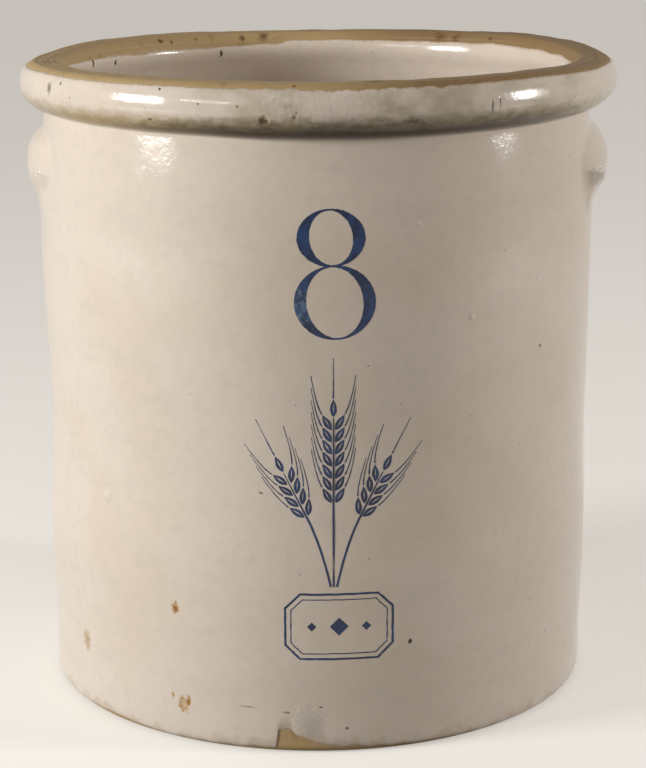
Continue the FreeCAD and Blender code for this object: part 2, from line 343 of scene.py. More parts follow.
@dataclass(frozen=True)
class Ear:
    """A solid lug pressed in a mould: a proud brow, a lip, and a cove under it for the fingers."""

    bearing: float
    level: float
    proud: float = 9.6
    brow: float = 20.5
    tail: float = 36.0
    half_width: float = 67.0
    squareness: float = 3.6
    brow_fullness: float = 0.7
    cove_radius: float = 33.0
    cove_half_width: float = 62.0
    cove_squareness: float = 10.0
    cove_drop: float = 37.0
    cove_arch: float = 15.0
    lip_round: float = 0.6
    joint_round: float = 0.8
    lip_drop: float = 9.0
    lip_arch: float = 8.0
    # How dark the painted shade and dirt under the lip are.
    grime_and_shade: float = 0.6

    def rise(self, bearing: np.ndarray, level: np.ndarray, radius: float) -> np.ndarray:
        """How far the ear stands out of the wall.

        Args:
            bearing: Bearings in degrees.
            level: Levels.
            radius: The wall's outside radius, which turns bearings to distances along it.

        Returns:
            The height over the wall in mm, fading to nothing round the ear.
        """
        across = radius * np.radians(bearing - self.bearing)
        up = level - self.level
        reach = np.where(up > 0, self.brow, self.tail)
        arch = np.cos(np.clip(up / reach, -1.6, 1.6) * math.pi / 2)
        arch = np.sign(arch) * np.abs(arch) ** np.where(up > 0, self.brow_fullness, 1.0)
        blank = self.proud * (arch - np.minimum(np.abs(across / self.half_width), 2.0) ** self.squareness)
        aside = np.minimum(np.abs(across / self.cove_half_width), 1.0)
        below = up + self.cove_drop - self.cove_arch * aside ** 2
        ball = self.cove_radius ** 2 * (1 - aside ** self.cove_squareness)
        ball = ball - np.minimum(below ** 2, self.cove_radius ** 2)
        cove = np.where(ball > 0, self.cove_radius - np.sqrt(np.maximum(ball, 0.0)), self.cove_radius)
        shaped = soft_min(blank, cove, self.lip_round)
        return soft_max(shaped, np.zeros_like(shaped), self.joint_round)

    def shade_and_grime(self, bearing: np.ndarray, level: np.ndarray, radius: float) -> np.ndarray:
        """How much painted shade, with some dirt of fingers, darkens the cove under the lip.

        Args:
            bearing: Bearings in degrees.
            level: Levels.
            radius: The wall's outside radius.

        Returns:
            Shares from 0 to 1.
        """
        aside = np.minimum(np.abs(radius * np.radians(bearing - self.bearing)) / self.cove_half_width, 1.2)
        below = self.level - self.lip_drop + self.lip_arch * aside ** 2 - level
        under = smooth_step(0.0, 2.0, below) * (1 - smooth_step(5.0, 15.0, below))
        return self.grime_and_shade * under * (1 - smooth_step(0.9, 1.1, aside))


@dataclass(frozen=True)
class Blemish:
    """A small fault, by its place and size. A negative height is a hollow.

    It lies on the outside, or at a reach from the crock's axis if it has one.
    """

    bearing: float
    level: float
    radius: float
    height: float
    colour: str
    rim: str
    wide: float = 1.0
    reach: Optional[float] = None


@dataclass(frozen=True)
class Crock:
    """The crock's shape, with its size taken from the frame and its lesser sizes in proportion."""

    height: float
    rim_radius: float
    rim_overhang: float = 10.8
    wall_thickness: float = 11.9
    floor_thickness: float = 12.0
    floor_fillet: float = 14.0
    foot_inset: float = 2.8
    foot_corner_width: float = 5.4
    foot_corner_height: float = 4.6
    belly_inset: float = 0.7
    belly_level: float = 105.0
    waist_inset: float = 2.4
    waist_level: float = 160.0
    neck_inset: float = 4.5
    shoulder_drop: float = 51.0
    crown_width: float = 8.1
    crown_height: float = 14.7
    tuck_height: float = 15.8
    lip_width: float = 11.5
    mouth_width: float = 7.1
    mouth_height: float = 13.0
    bead_fade: float = 15.0
    glaze: float = 0.9
    bite: float = 0.06
    warp: Warp = Warp()
    ears: tuple[Ear, ...] = (
        Ear(90.0, 330.5, brow=19.6),
        # The left ear's cove gets less painted shade, as the main lamp lights it.
        Ear(-90.0, 335.0, proud=8.5, brow=15.3, brow_fullness=0.8, cove_drop=39.5, lip_drop=14.5,
            grime_and_shade=0.2),
    )
    dents: Waves = Waves(seed=11, depth=0.05, most_turns=4, shortest_rise=150.0)
    hand: Waves = Waves(seed=12, depth=0.07, most_turns=9, shortest_rise=26.0)

    @classmethod
    def from_frame(cls) -> "Crock":
        """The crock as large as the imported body."""
        _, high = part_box("body")
        return cls(height=high.z / MM, rim_radius=high.x / MM)

    @property
    def wall_radius(self) -> float:
        """The outside of the clay wall at its shoulder."""
        return self.rim_radius - self.rim_overhang

    @property
    def rim_level(self) -> float:
        """The level at which the rolled rim is widest."""
        return self.height - self.crown_height

    @property
    def crease_level(self) -> float:
        """The level of the crease where the rim meets the wall."""
        return self.rim_level - self.tuck_height

    @property
    def under_glaze(self) -> float:
        """How far a coat's hidden side lies from its face: through the coat and a hair into the clay."""
        return -self.glaze - self.bite

    def outside(self, grow: float) -> Path:
        """The outside from under the foot to the flat of the lip.

        Args:
            grow: How far it is grown outwards, in mm.

        Returns:
            The half section, run upwards.
        """
        foot = self.wall_radius - self.foot_inset
        neck = self.wall_radius - self.neck_inset
        crown = self.rim_radius - self.crown_width
        corner = (foot - self.foot_corner_width, self.foot_corner_height)
        tuck_width, tuck_height = self.rim_radius - neck + grow, self.tuck_height + grow
        crease = -math.degrees(math.acos(grow / tuck_width))
        crease_level = self.rim_level + tuck_height * math.sin(math.radians(crease))
        levels = np.array([corner[1], self.belly_level, self.waist_level,
                           self.crease_level - self.shoulder_drop, crease_level])
        insets = np.array([self.foot_inset, self.belly_inset, self.waist_inset, 0.0, self.neck_inset])
        wall = np.linspace(levels[0], levels[-1], 500)
        radii = natural_curve(levels, self.wall_radius - insets + grow, wall)
        return even_path([
            ellipse_arc(corner, self.foot_corner_width + grow, self.foot_corner_height + grow, -90, 0),
            np.stack([radii, wall], axis=1),
            ellipse_arc((neck, self.rim_level), tuck_width, tuck_height, crease, 0),
            ellipse_arc((crown, self.rim_level), self.crown_width + grow, self.crown_height + grow, 0, 90),
        ])

    def inside(self, shrink: float) -> Path:
        """The inside from the flat of the lip down to the middle of the floor.

        Args:
            shrink: How far it is shrunk inwards, in mm.

        Returns:
            The half section, run downwards.
        """
        lip = self.rim_radius - self.crown_width - self.lip_width
        bore = self.wall_radius - self.wall_thickness - shrink
        floor = self.floor_thickness + shrink
        fillet = self.floor_fillet - shrink
        bead = self.height - self.mouth_height
        share = np.linspace(0, 1, 60)
        narrow = lip - self.mouth_width - shrink
        widening = narrow + (bore - narrow) * smooth_step(0, 1, share)
        fade = np.stack([widening, bead - self.bead_fade * share], axis=1)
        return even_path([
            ellipse_arc((lip, bead), self.mouth_width + shrink, self.mouth_height + shrink, 90, 180),
            fade,
            ellipse_arc((bore - fillet, floor + fillet), fillet, fillet, 0, -90),
            np.array([[bore - fillet, floor], [0.0, floor]]),
        ])

    def unevenness(self, bearing: np.ndarray, level: np.ndarray) -> np.ndarray:
        """How far the clay departs from a true turned shape, outwards, in mm."""
        return self.dents.at(bearing, level) + self.hand.at(bearing, level)

    def lifted(self, bearing: np.ndarray, level: np.ndarray) -> np.ndarray:
        """The ears' height over the wall.

        Args:
            bearing: Bearings in degrees.
            level: Levels.

        Returns:
            Heights in mm, nothing from the crease up.
        """
        on_wall = level < self.crease_level - 2 * self.glaze
        rise = sum(ear.rise(bearing, level, self.wall_radius) for ear in self.ears)
        return np.where(on_wall, rise, 0.0)

    def shade_and_grime(self, bearing: np.ndarray, level: np.ndarray) -> np.ndarray:
        """How much painted shade and dirt darken the coves under the ears, from 0 to 1."""
        return sum(ear.shade_and_grime(bearing, level, self.wall_radius) for ear in self.ears)

    def placed(self, radius: np.ndarray, level: np.ndarray, bearing: np.ndarray) -> np.ndarray:
        """Turns a half section to bearings and warps it as the fired crock is.

        Args:
            radius: The points' distances from the axis.
            level: Their levels.
            bearing: Their bearings in degrees.

        Returns:
            An array of points in mm, its last axis x, y and z.
        """
        turn = np.radians(bearing)
        warp = self.warp
        on_rim = smooth_step(self.crease_level - 4, self.rim_level, level)
        on_lip = smooth_step(self.rim_level, self.height, level)
        near_crease = smooth_step(self.crease_level - 60, self.crease_level, level) * (
            1 - smooth_step(self.crease_level, self.rim_level, level))
        bow = eased(level, warp.left) * np.maximum(-np.sin(turn), 0.0) ** 2
        bow = bow + eased(level, warp.right) * np.maximum(np.sin(turn), 0.0) ** 2
        radius = radius + bow * (1 - on_rim) + warp.rim_swell * on_rim
        x, y = radius * np.sin(turn) + warp.rim_shift * on_rim, -radius * np.cos(turn)
        rise = eased(bearing, warp.lip, 360.0) * on_lip + eased(bearing, warp.crease, 360.0) * near_crease
        return np.stack(np.broadcast_arrays(x, y, level + rise), axis=-1)

    def surface(self, path: Path, along: np.ndarray, bearing: np.ndarray, lift: np.ndarray) -> np.ndarray:
        """Points of the crock's skin.

        Args:
            path: The half section.
            along: Distances along it, which broadcast with the bearings.
            bearing: Bearings in degrees.
            lift: How far the points stand out of the section, in mm.

        Returns:
            An array of points in mm, its last axis x, y and z.
        """
        radius, level, out, up = path.at(along)
        out_of_true = self.unevenness(bearing, level)
        radius = radius + (out_of_true + lift) * out
        level = level + lift * up
        return self.placed(radius, level, bearing)

    def wall_point(self, bearing: np.ndarray, level: np.ndarray, lift: float) -> np.ndarray:
        """Finds points on the glazed wall.

        Args:
            bearing: Bearings in degrees.
            level: Levels.
            lift: How far the points lie off the glaze, in mm.

        Returns:
            An array of points in mm, its last axis x, y and z.
        """
        path = self.outside(self.glaze)
        section = np.interp(level, path.level[:-1], path.along[:-1])
        return self.surface(path, section, bearing, lift + self.lifted(bearing, level))

    def spot(self, blemish: Blemish) -> tuple[float, float, float]:
        """Finds where a blemish lies.

        Args:
            blemish: The blemish.

        Returns:
            Its middle in mm.
        """
        bearing, level = np.array([blemish.bearing]), np.array([blemish.level])
        if blemish.reach is None:
            return tuple(self.wall_point(bearing, level, 0.0)[0])
        turn = math.radians(blemish.bearing)
        return blemish.reach * math.sin(turn), -blemish.reach * math.cos(turn), blemish.level


class Shell:
    """Gathers the grids of one piece in millimetres and makes its closed mesh."""

    def __init__(self, crisp: float = 180.0) -> None:
        """Starts with no points.

        Args:
            crisp: The angle in degrees from which an edge isn't shaded smooth.
        """
        self.crisp = crisp
        self.points: list[np.ndarray] = []
        self.faces: list[tuple[int, ...]] = []
        self.size = 0

    def grid(self, points: np.ndarray) -> np.ndarray:
        """Adds rows of points that close into rings.

        Args:
            points: An array of rows, columns and x, y, z.

        Returns:
            The points' numbers, by row and column.
        """
        rows, columns = points.shape[:2]
        numbers = self.size + np.arange(rows * columns).reshape(rows, columns)
        self.points.append(points.reshape(-1, 3))
        self.size += rows * columns
        for low, high in zip(numbers, numbers[1:]):
            self.join(low, high)
        return numbers

    def join(self, low: np.ndarray, high: np.ndarray) -> None:
        """Joins two rings of as many points with a band of faces."""
        ahead_low, ahead_high = np.roll(low, -1), np.roll(high, -1)
        self.faces += list(zip(low.tolist(), ahead_low.tolist(), ahead_high.tolist(), high.tolist()))

    def fan(self, ring: np.ndarray, centre: np.ndarray) -> None:
        """Closes a ring with triangles to one point.

        Args:
            ring: The numbers of the ring's points.
            centre: The new point in mm.
        """
        self.points.append(np.asarray(centre, dtype=float).reshape(1, 3))
        self.faces += [(a, b, self.size) for a, b in zip(ring.tolist(), np.roll(ring, -1).tolist())]
        self.size += 1

    def make(self, name: str, values: Optional[dict[str, np.ndarray]] = None) -> bpy.types.Object:
        """Makes the piece, with its faces turned outwards.

        Args:
            name: The piece's name.
            values: A number for each point, by the name that materials read it with.

        Returns:
            The new object, at the origin.
        """
        points = np.concatenate(self.points)
        mesh = bpy.data.meshes.new(name)
        mesh.from_pydata((points * MM).tolist(), [], self.faces)
        for label, numbers in (values or {}).items():
            attribute = mesh.attributes.new(label, "FLOAT", "POINT")
            attribute.data.foreach_set("value", numbers.astype(np.float32))
        mesh.validate()
        mesh.update()
        turn_outwards(mesh)
        mesh.polygons.foreach_set("use_smooth", [True] * len(mesh.polygons))
        mesh.set_sharp_from_angle(angle=math.radians(self.crisp))
        piece = bpy.data.objects.new(name, mesh)
        bpy.context.scene.collection.objects.link(piece)
        return piece


def turn_outwards(mesh: bpy.types.Mesh) -> None:
    """Flips a closed mesh's faces if they enclose a negative volume.

    Args:
        mesh: The mesh, which is changed.
    """
    mesh.calc_loop_triangles()
    corners = np.array([vertex.co[:] for vertex in mesh.vertices])
    corners = corners[np.array([triangle.vertices[:] for triangle in mesh.loop_triangles])]
    volume = np.einsum("ij,ij->i", corners[:, 0], np.cross(corners[:, 1], corners[:, 2])).sum() / 6
    if volume < 0:
        mesh.flip_normals()


def settle(piece: bpy.types.Object, material: bpy.types.Material, nodes: Sequence[str]) -> None:
    """Dresses a piece and ties it to the frame.

    Args:
        piece: The modelled piece.
        material: Its finish.
        nodes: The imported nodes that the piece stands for.
    """
    piece.data.materials.clear()
    piece.data.materials.append(material)
    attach(piece, BODY)
    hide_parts(*nodes)
    log.info("%s stands for %s: %d points, %d faces", piece.name, ", ".join(nodes),
             len(piece.data.vertices), len(piece.data.polygons))


class Node(Enum):
    """The nodes of a finish: kind, settings, the sockets its values go to, and its result."""

    PLUS = ("ShaderNodeMath", {"operation": "ADD"}, (0, 1), 0)
    LESS = ("ShaderNodeMath", {"operation": "SUBTRACT"}, (0, 1), 0)
    TIMES = ("ShaderNodeMath", {"operation": "MULTIPLY"}, (0, 1), 0)
    OVER = ("ShaderNodeMath", {"operation": "DIVIDE"}, (0, 1), 0)
    LARGER = ("ShaderNodeMath", {"operation": "MAXIMUM"}, (0, 1), 0)
    ANGLE = ("ShaderNodeMath", {"operation": "ARCTAN2"}, (0, 1), 0)
    SCALED = ("ShaderNodeVectorMath", {"operation": "SCALE"}, (0, "Scale"), 0)
    STRETCHED = ("ShaderNodeVectorMath", {"operation": "MULTIPLY"}, (0, 1), 0)
    APART = ("ShaderNodeVectorMath", {"operation": "SUBTRACT"}, (0, 1), 0)
    LENGTH = ("ShaderNodeVectorMath", {"operation": "LENGTH"}, (0,), "Value")
    DISTANCE = ("ShaderNodeVectorMath", {"operation": "DISTANCE"}, (0, 1), "Value")
    NOISE = ("ShaderNodeTexNoise", {}, ("Vector", "Scale", "Detail"), 0)
    LINES = ("ShaderNodeTexNoise", {"noise_dimensions": "1D"}, ("W", "Scale", "Detail"), 0)
    CARRIED = ("ShaderNodeAttribute", {}, (), "Fac")
    RANGE = ("ShaderNodeMapRange", {}, (0, 1, 2, 3, 4), 0)
    RAMP = ("ShaderNodeMapRange", {"interpolation_type": "SMOOTHSTEP"}, (0, 1, 2, 3, 4), 0)
    MIX = ("ShaderNodeMix", {"data_type": "RGBA"}, (0, 6, 7), 2)


class Sheet:
    """Lays out the nodes of one material from the point's place in mm."""

    def __init__(self, name: str) -> None:
        """Makes an empty material that reads places in mm.

        Args:
            name: The material's name.
        """
        self.material = bpy.data.materials.new(name)
        self.material.use_nodes = True
        self.tree = self.material.node_tree
        self.tree.nodes.clear()
        metres = add_node(self.tree, "ShaderNodeTexCoord").outputs["Object"]
        self.place = self.add(Node.SCALED, metres, 1 / MM)
        parts = add_node(self.tree, "ShaderNodeSeparateXYZ", {0: self.place})
        self.x, self.y, self.level = parts.outputs
        flat = add_node(self.tree, "ShaderNodeCombineXYZ", {0: self.x, 1: self.y}).outputs[0]
        self.radius = self.add(Node.LENGTH, flat)
        ahead = self.add(Node.TIMES, self.y, -1.0)
        self.bearing = self.add(Node.TIMES, self.add(Node.ANGLE, self.x, ahead), math.degrees(1))

    def add(self, node: Node, *values: Value, **settings: str) -> Socket:
        """Adds one of the nodes that are listed above.

        Args:
            node: Which of them.
            values: What goes into its sockets, in their order. Sockets left over keep their own.
            settings: Settings that aren't always the same.

        Returns:
            The node's result.
        """
        kind, fixed, sockets, result = node.value
        return add_node(self.tree, kind, dict(zip(sockets, values)), **fixed, **settings).outputs[result]

    def between(self, value: Value, low: float, high: float, fade: float) -> Socket:
        """A mask that is 1 between two values and fades outside them."""
        rising = self.add(Node.RAMP, value, low - fade, low)
        return self.add(Node.TIMES, rising, self.add(Node.RAMP, value, high, high + fade, 1.0, 0.0))

    def cloudy(self, size: float, detail: float, *ramp: float) -> Socket:
        """Noise with features of a size in mm, taken through a ramp: from, to, start and end."""
        noise = self.add(Node.NOISE, self.place, 1 / size, detail)
        return self.add(Node.RAMP, noise, *ramp)

    def streaky(self, across: float, up: float, detail: float, *ramp: float) -> Socket:
        """Noise with features of one size across and another up, in mm, taken through a ramp."""
        place = self.add(Node.STRETCHED, self.place, (1 / across, 1 / across, 1 / up))
        return self.add(Node.RAMP, self.add(Node.NOISE, place, 1.0, detail), *ramp)

    def weighed(self, *parts: tuple[Value, float]) -> Socket:
        """Adds up numbers.

        Args:
            parts: Each number with its weight.

        Returns:
            Their weighed sum.
        """
        total = None
        for value, weight in parts:
            part = self.add(Node.TIMES, value, weight)
            total = part if total is None else self.add(Node.PLUS, total, part)
        return total

    def specks(self, cell: float, share: float, largest: float, softness: float = 0.35) -> Socket:
        """Scattered round specks of unlike sizes.

        Args:
            cell: The usual distance between specks if every cell held one, in mm.
            share: The share of the cells that hold a speck.
            largest: The radius of the largest speck in mm.
            softness: The share of that radius over which a speck's edge fades.

        Returns:
            A mask that is 1 inside the specks.
        """
        cells = add_node(self.tree, "ShaderNodeTexVoronoi", {"Vector": self.place, "Scale": 1 / cell})
        pick = add_node(self.tree, "ShaderNodeSeparateColor", {0: cells.outputs["Color"]}).outputs[0]
        reach = self.add(Node.RANGE, pick, 1 - share, 1.0, 0.0, largest / cell)
        depth = self.add(Node.LESS, reach, cells.outputs["Distance"])
        return self.add(Node.RAMP, depth, 0.0, softness * largest / cell)

    def blemished(
        self, crock: Crock, blemishes: Sequence[Blemish], colour: Value, relief: Value,
    ) -> tuple[Socket, Socket]:
        """Adds each blemish with its rim, both ragged.

        Args:
            crock: The crock, which says where a blemish lies.
            blemishes: The faults to add.
            colour: The colour so far.
            relief: The fine relief so far, in mm.

        Returns:
            The new colour and relief.
        """
        ragged = self.cloudy(2.2, 3.0, 0.3, 0.7, -0.3, 0.3)
        for blemish in blemishes:
            apart = self.add(Node.APART, self.place, crock.spot(blemish))
            squeezed = self.add(Node.STRETCHED, apart, (1.0, 1.0, blemish.wide))
            share = self.add(Node.OVER, self.add(Node.LENGTH, squeezed), blemish.radius)
            torn = self.add(Node.PLUS, share, ragged)
            rim = self.add(Node.RAMP, torn, 0.6, 1.15, 0.85, 0.0)
            colour = self.add(Node.MIX, rim, colour, linear(blemish.rim))
            heart = self.add(Node.RAMP, torn, 0.3, 0.65, 0.95, 0.0)
            colour = self.add(Node.MIX, heart, colour, linear(blemish.colour))
            if blemish.height:
                rise = self.add(Node.RAMP, share, 0.0, 1.2, blemish.height, 0.0)
                relief = self.add(Node.PLUS, relief, rise)
        return colour, relief

    def finish(self, colour: Value, roughness: Value, relief: Value, ior: float) -> bpy.types.Material:
        """Joins colour, roughness and relief in the surface.

        Args:
            colour: The base colour.
            roughness: The roughness.
            relief: The fine relief in mm.
            ior: The index of refraction.

        Returns:
            The finished material.
        """
        bump = add_node(self.tree, "ShaderNodeBump", {"Height": relief, "Distance": MM, "Strength": 1.0})
        surface = add_node(self.tree, "ShaderNodeBsdfPrincipled", {
            "Base Color": colour, "Roughness": roughness, "Normal": bump.outputs[0], "IOR": ior,
        })
        add_node(self.tree, "ShaderNodeOutputMaterial", {0: surface.outputs[0]})
        return self.material


@dataclass(frozen=True)
class BristolGlaze:
    """Zinc-opacified Bristol glaze, poured on thick and fired glossy.

    It gives a warm white with faint clouds and level streaks, brown iron specks and pinholes, a soft
    orange-peel gloss, tan where it thins at its edges, and old kitchen dirt mixed with painted shade under
    the rolled rim and in the coves under the ears' lips.
    Sizes are mm, and depths are heights of the fine relief in mm.
    """

    white: str = "#EBDDCD"
    cream: str = "#DFCDB2"
    grey: str = "#CFC4B4"
    thin: str = "#B89C74"
    iron: str = "#4F3A24"
    olive: str = "#A2853F"
    grime_and_shade: str = "#43300A"
    hollow: str = "#6B6146"
    smear: str = "#9B8E66"
    cloud_size: float = 70.0
    streak_width: float = 50.0
    streak_height: float = 12.0
    mottle_size: float = 7.0
    speck_cell: float = 10.0
    speck_radius: float = 0.6
    fine_speck_cell: float = 4.5
    fine_speck_radius: float = 0.4
    peel_size: float = 2.6
    peel_depth: float = 0.06
    ripple_size: float = 12.0
    ripple_depth: float = 0.14
    pinhole_depth: float = -0.12
    lump_size: float = 3.4
    lump_depth: float = 0.45
    outside_wear: float = 0.8
    inside_wear: float = 0.7
    roughness: float = 0.13
    smear_roughness: float = 0.25
    ior: float = 1.5

    def material(self, crock: Crock, blemishes: Sequence[Blemish]) -> bpy.types.Material:
        """The glaze outside, with dirt and painted shade under the rim and the ears, wear and lumps.

        Args:
            crock: The crock, which says where the crease, the rim and a blemish lie.
            blemishes: The faults on the wall and the rim.

        Returns:
            The finish of the coat outside.
        """
        sheet = Sheet("bristol_glaze")
        colour = self.grime_and_shade_under_rim(sheet, crock, self.clouds(sheet))
        smear = self.smear_mask(sheet, crock)
        colour = sheet.add(Node.MIX, smear, colour, linear(self.smear))
        # The coves under the ears' lips get painted shade with some dirt, as a dark olive.
        shade_and_grime = sheet.add(Node.CARRIED, attribute_name="shade_and_grime")
        hollow = sheet.add(Node.TIMES, shade_and_grime, sheet.cloudy(5.0, 3.0, 0.2, 0.6, 0.6, 1.0))
        colour = sheet.add(Node.MIX, hollow, colour, linear(self.hollow))
        colour = sheet.add(Node.MIX, self.thinned_foot(sheet), colour, linear(self.thin))
        colour = sheet.add(Node.MIX, self.worn(sheet, self.outside_wear), colour, linear(self.thin))
        specks, colour = self.iron_specks(sheet, colour)
        colour, relief = sheet.blemished(crock, blemishes, colour, self.relief(sheet, specks))
        relief = sheet.add(Node.PLUS, relief, self.lumps(sheet, crock))
        dull = sheet.cloudy(35.0, 3.0, 0.35, 0.7, -0.03, 0.05)
        dull = sheet.add(Node.PLUS, sheet.add(Node.TIMES, smear, self.smear_roughness), dull)
        roughness = sheet.add(Node.PLUS, dull, self.roughness)
        return sheet.finish(colour, roughness, relief, self.ior)

    def inside_material(self, crock: Crock, blemishes: Sequence[Blemish]) -> bpy.types.Material:
        """The cleaner glaze inside.

        Args:
            crock: The crock, which says where a blemish lies.
            blemishes: The nicks in the coat's edge.

        Returns:
            The finish of the coat inside.
        """
        sheet = Sheet("bristol_glaze_inside")
        colour = self.clouds(sheet)
        colour = sheet.add(Node.MIX, self.worn(sheet, self.inside_wear), colour, linear(self.thin))
        specks, colour = self.iron_specks(sheet, colour)
        colour, relief = sheet.blemished(crock, blemishes, colour, self.relief(sheet, specks))
        return sheet.finish(colour, self.roughness, relief, self.ior)

    def clouds(self, sheet: Sheet) -> Socket:
        """The white with its slow cream clouds, level grey streaks and small mottle.

        Args:
            sheet: The material's nodes.

        Returns:
            The colour.
        """
        cream = sheet.cloudy(self.cloud_size, 4.0, 0.42, 0.72, 0.0, 0.35)
        colour = sheet.add(Node.MIX, cream, linear(self.white), linear(self.cream))
        streaks = sheet.streaky(self.streak_width, self.streak_height, 4.0, 0.45, 0.8, 0.0, 0.16)
        colour = sheet.add(Node.MIX, streaks, colour, linear(self.grey))
        mottle = sheet.cloudy(self.mottle_size, 4.0, 0.45, 0.75, 0.0, 0.22)
        return sheet.add(Node.MIX, mottle, colour, linear(self.grey))

    def worn(self, sheet: Sheet, share: float) -> Socket:
        """A mask over the coat's ragged thin edge, where the clay shows through.

        Args:
            sheet: The material's nodes.
            share: How strong the mask is at the edge.

        Returns:
            The mask.
        """
        edge = sheet.add(Node.CARRIED, attribute_name="edge")
        ragged = sheet.add(Node.PLUS, edge, sheet.cloudy(2.5, 2.0, 0.3, 0.7, -0.5, 0.5))
        return sheet.add(Node.RAMP, ragged, 0.2, 1.6, share, 0.0)

    def thinned_foot(self, sheet: Sheet) -> Socket:
        """A mask over the last few mm of the coat above the foot, where it thins in patches.

        Args:
            sheet: The material's nodes.

        Returns:
            The mask.
        """
        edge = sheet.add(Node.CARRIED, attribute_name="edge")
        patchy = sheet.add(Node.PLUS, edge, sheet.cloudy(9.0, 4.0, 0.3, 0.7, -4.0, 4.0))
        low = sheet.add(Node.RAMP, sheet.level, 20.0, 34.0, 1.0, 0.0)
        return sheet.add(Node.TIMES, sheet.add(Node.RAMP, patchy, 0.5, 8.0, 0.35, 0.0), low)

    def grime_and_shade_under_rim(self, sheet: Sheet, crock: Crock, colour: Value) -> Socket:
        """Adds dirt mixed with painted shade under the downward-facing rolled rim: pale olive, then deep in
        the crease and over the front.

        Args:
            sheet: The material's nodes.
            crock: The crock, which says where the crease lies.
            colour: The colour so far.

        Returns:
            The new colour.
        """
        ragged = sheet.add(Node.PLUS, sheet.level, sheet.streaky(7.0, 3.5, 5.0, 0.3, 0.7, -1.3, 1.3))
        over_crease = sheet.add(Node.LESS, ragged, crock.crease_level)
        outer = sheet.add(Node.RAMP, sheet.radius, crock.wall_radius - 2.4, crock.wall_radius - 0.4)
        above = sheet.add(Node.RAMP, sheet.level, crock.crease_level - 1.0, crock.crease_level + 0.3)
        under_rim = sheet.add(Node.TIMES, outer, above)
        front = sheet.between(sheet.bearing, -12.0, 40.0, 42.0)
        pale = sheet.add(Node.TIMES, sheet.add(Node.RAMP, over_crease, 3.0, 16.0, 0.95, 0.0), under_rim)
        reach = sheet.add(Node.TIMES, sheet.add(Node.PLUS, front, 0.2), 12.0)
        share = sheet.add(Node.OVER, over_crease, reach)
        deep = sheet.add(Node.TIMES, sheet.add(Node.RAMP, share, 0.25, 1.05, 1.0, 0.0), under_rim)
        deeper_ahead = sheet.add(Node.PLUS, sheet.add(Node.TIMES, front, 0.82), 0.18)
        # Painted shade with dirt: the roll's underside, which faces down, is tinted olive, then deep brown.
        colour = sheet.add(Node.MIX, pale, colour, linear(self.olive))
        return sheet.add(Node.MIX, sheet.add(Node.TIMES, deep, deeper_ahead), colour, linear(self.grime_and_shade))

    def smear_mask(self, sheet: Sheet, crock: Crock) -> Socket:
        """A dull rubbed patch right of the rim's front, and fainter ones beside it.

        Args:
            sheet: The material's nodes.
            crock: The crock, which says where the roll begins.

        Returns:
            The mask.
        """
        patch = sheet.streaky(22.0, 12.0, 5.0, 0.35, 0.7)
        strong = sheet.add(Node.TIMES, sheet.between(sheet.bearing, 12.5, 18.5, 4.0), 0.75)
        faint = sheet.add(Node.TIMES, sheet.between(sheet.bearing, -10.0, 45.0, 20.0), 0.5)
        roll = sheet.add(Node.RAMP, sheet.level, crock.crease_level + 2.0, crock.crease_level + 9.0)
        ahead = sheet.add(Node.TIMES, patch, sheet.add(Node.LARGER, strong, faint))
        return sheet.add(Node.TIMES, ahead, roll)

    def iron_specks(self, sheet: Sheet, colour: Value) -> tuple[Socket, Socket]:
        """Scatters iron specks, few and large over many and fine.

        Args:
            sheet: The material's nodes.
            colour: The colour so far.

        Returns:
            The specks' mask and the new colour.
        """
        coarse = sheet.specks(self.speck_cell, 0.9, self.speck_radius)
        fine = sheet.add(Node.TIMES, sheet.specks(self.fine_speck_cell, 0.8, self.fine_speck_radius), 0.45)
        colour = sheet.add(Node.MIX, fine, colour, linear(self.iron))
        colour = sheet.add(Node.MIX, sheet.add(Node.TIMES, coarse, 0.8), colour, linear(self.iron))
        return sheet.add(Node.LARGER, coarse, fine), colour

    def relief(self, sheet: Sheet, specks: Value) -> Socket:
        """Orange peel and slow ripples, with a pinhole at each speck.

        Args:
            sheet: The material's nodes.
            specks: The specks' mask.

        Returns:
            The relief in mm.
        """
        peel = sheet.add(Node.NOISE, sheet.place, 1 / self.peel_size, 3.0)
        ripple = sheet.add(Node.NOISE, sheet.place, 1 / self.ripple_size, 2.0)
        return sheet.weighed(
            (peel, self.peel_depth), (ripple, self.ripple_depth), (specks, self.pinhole_depth))

    def lumps(self, sheet: Sheet, crock: Crock) -> Socket:
        """Lumpy glaze over the front of the roll, in mm.

        Args:
            sheet: The material's nodes.
            crock: The crock, which says where the roll begins.

        Returns:
            The lumps' relief.
        """
        lumps = sheet.add(Node.NOISE, sheet.place, 1 / self.lump_size, 4.0)
        on_roll = sheet.add(Node.RAMP, sheet.level, crock.crease_level + 4.0, crock.crease_level + 10.0)
        lumpy = sheet.add(Node.TIMES, sheet.between(sheet.bearing, -6.0, 20.0, 9.0), on_roll)
        return sheet.add(Node.TIMES, sheet.add(Node.TIMES, lumps, self.lump_depth), lumpy)


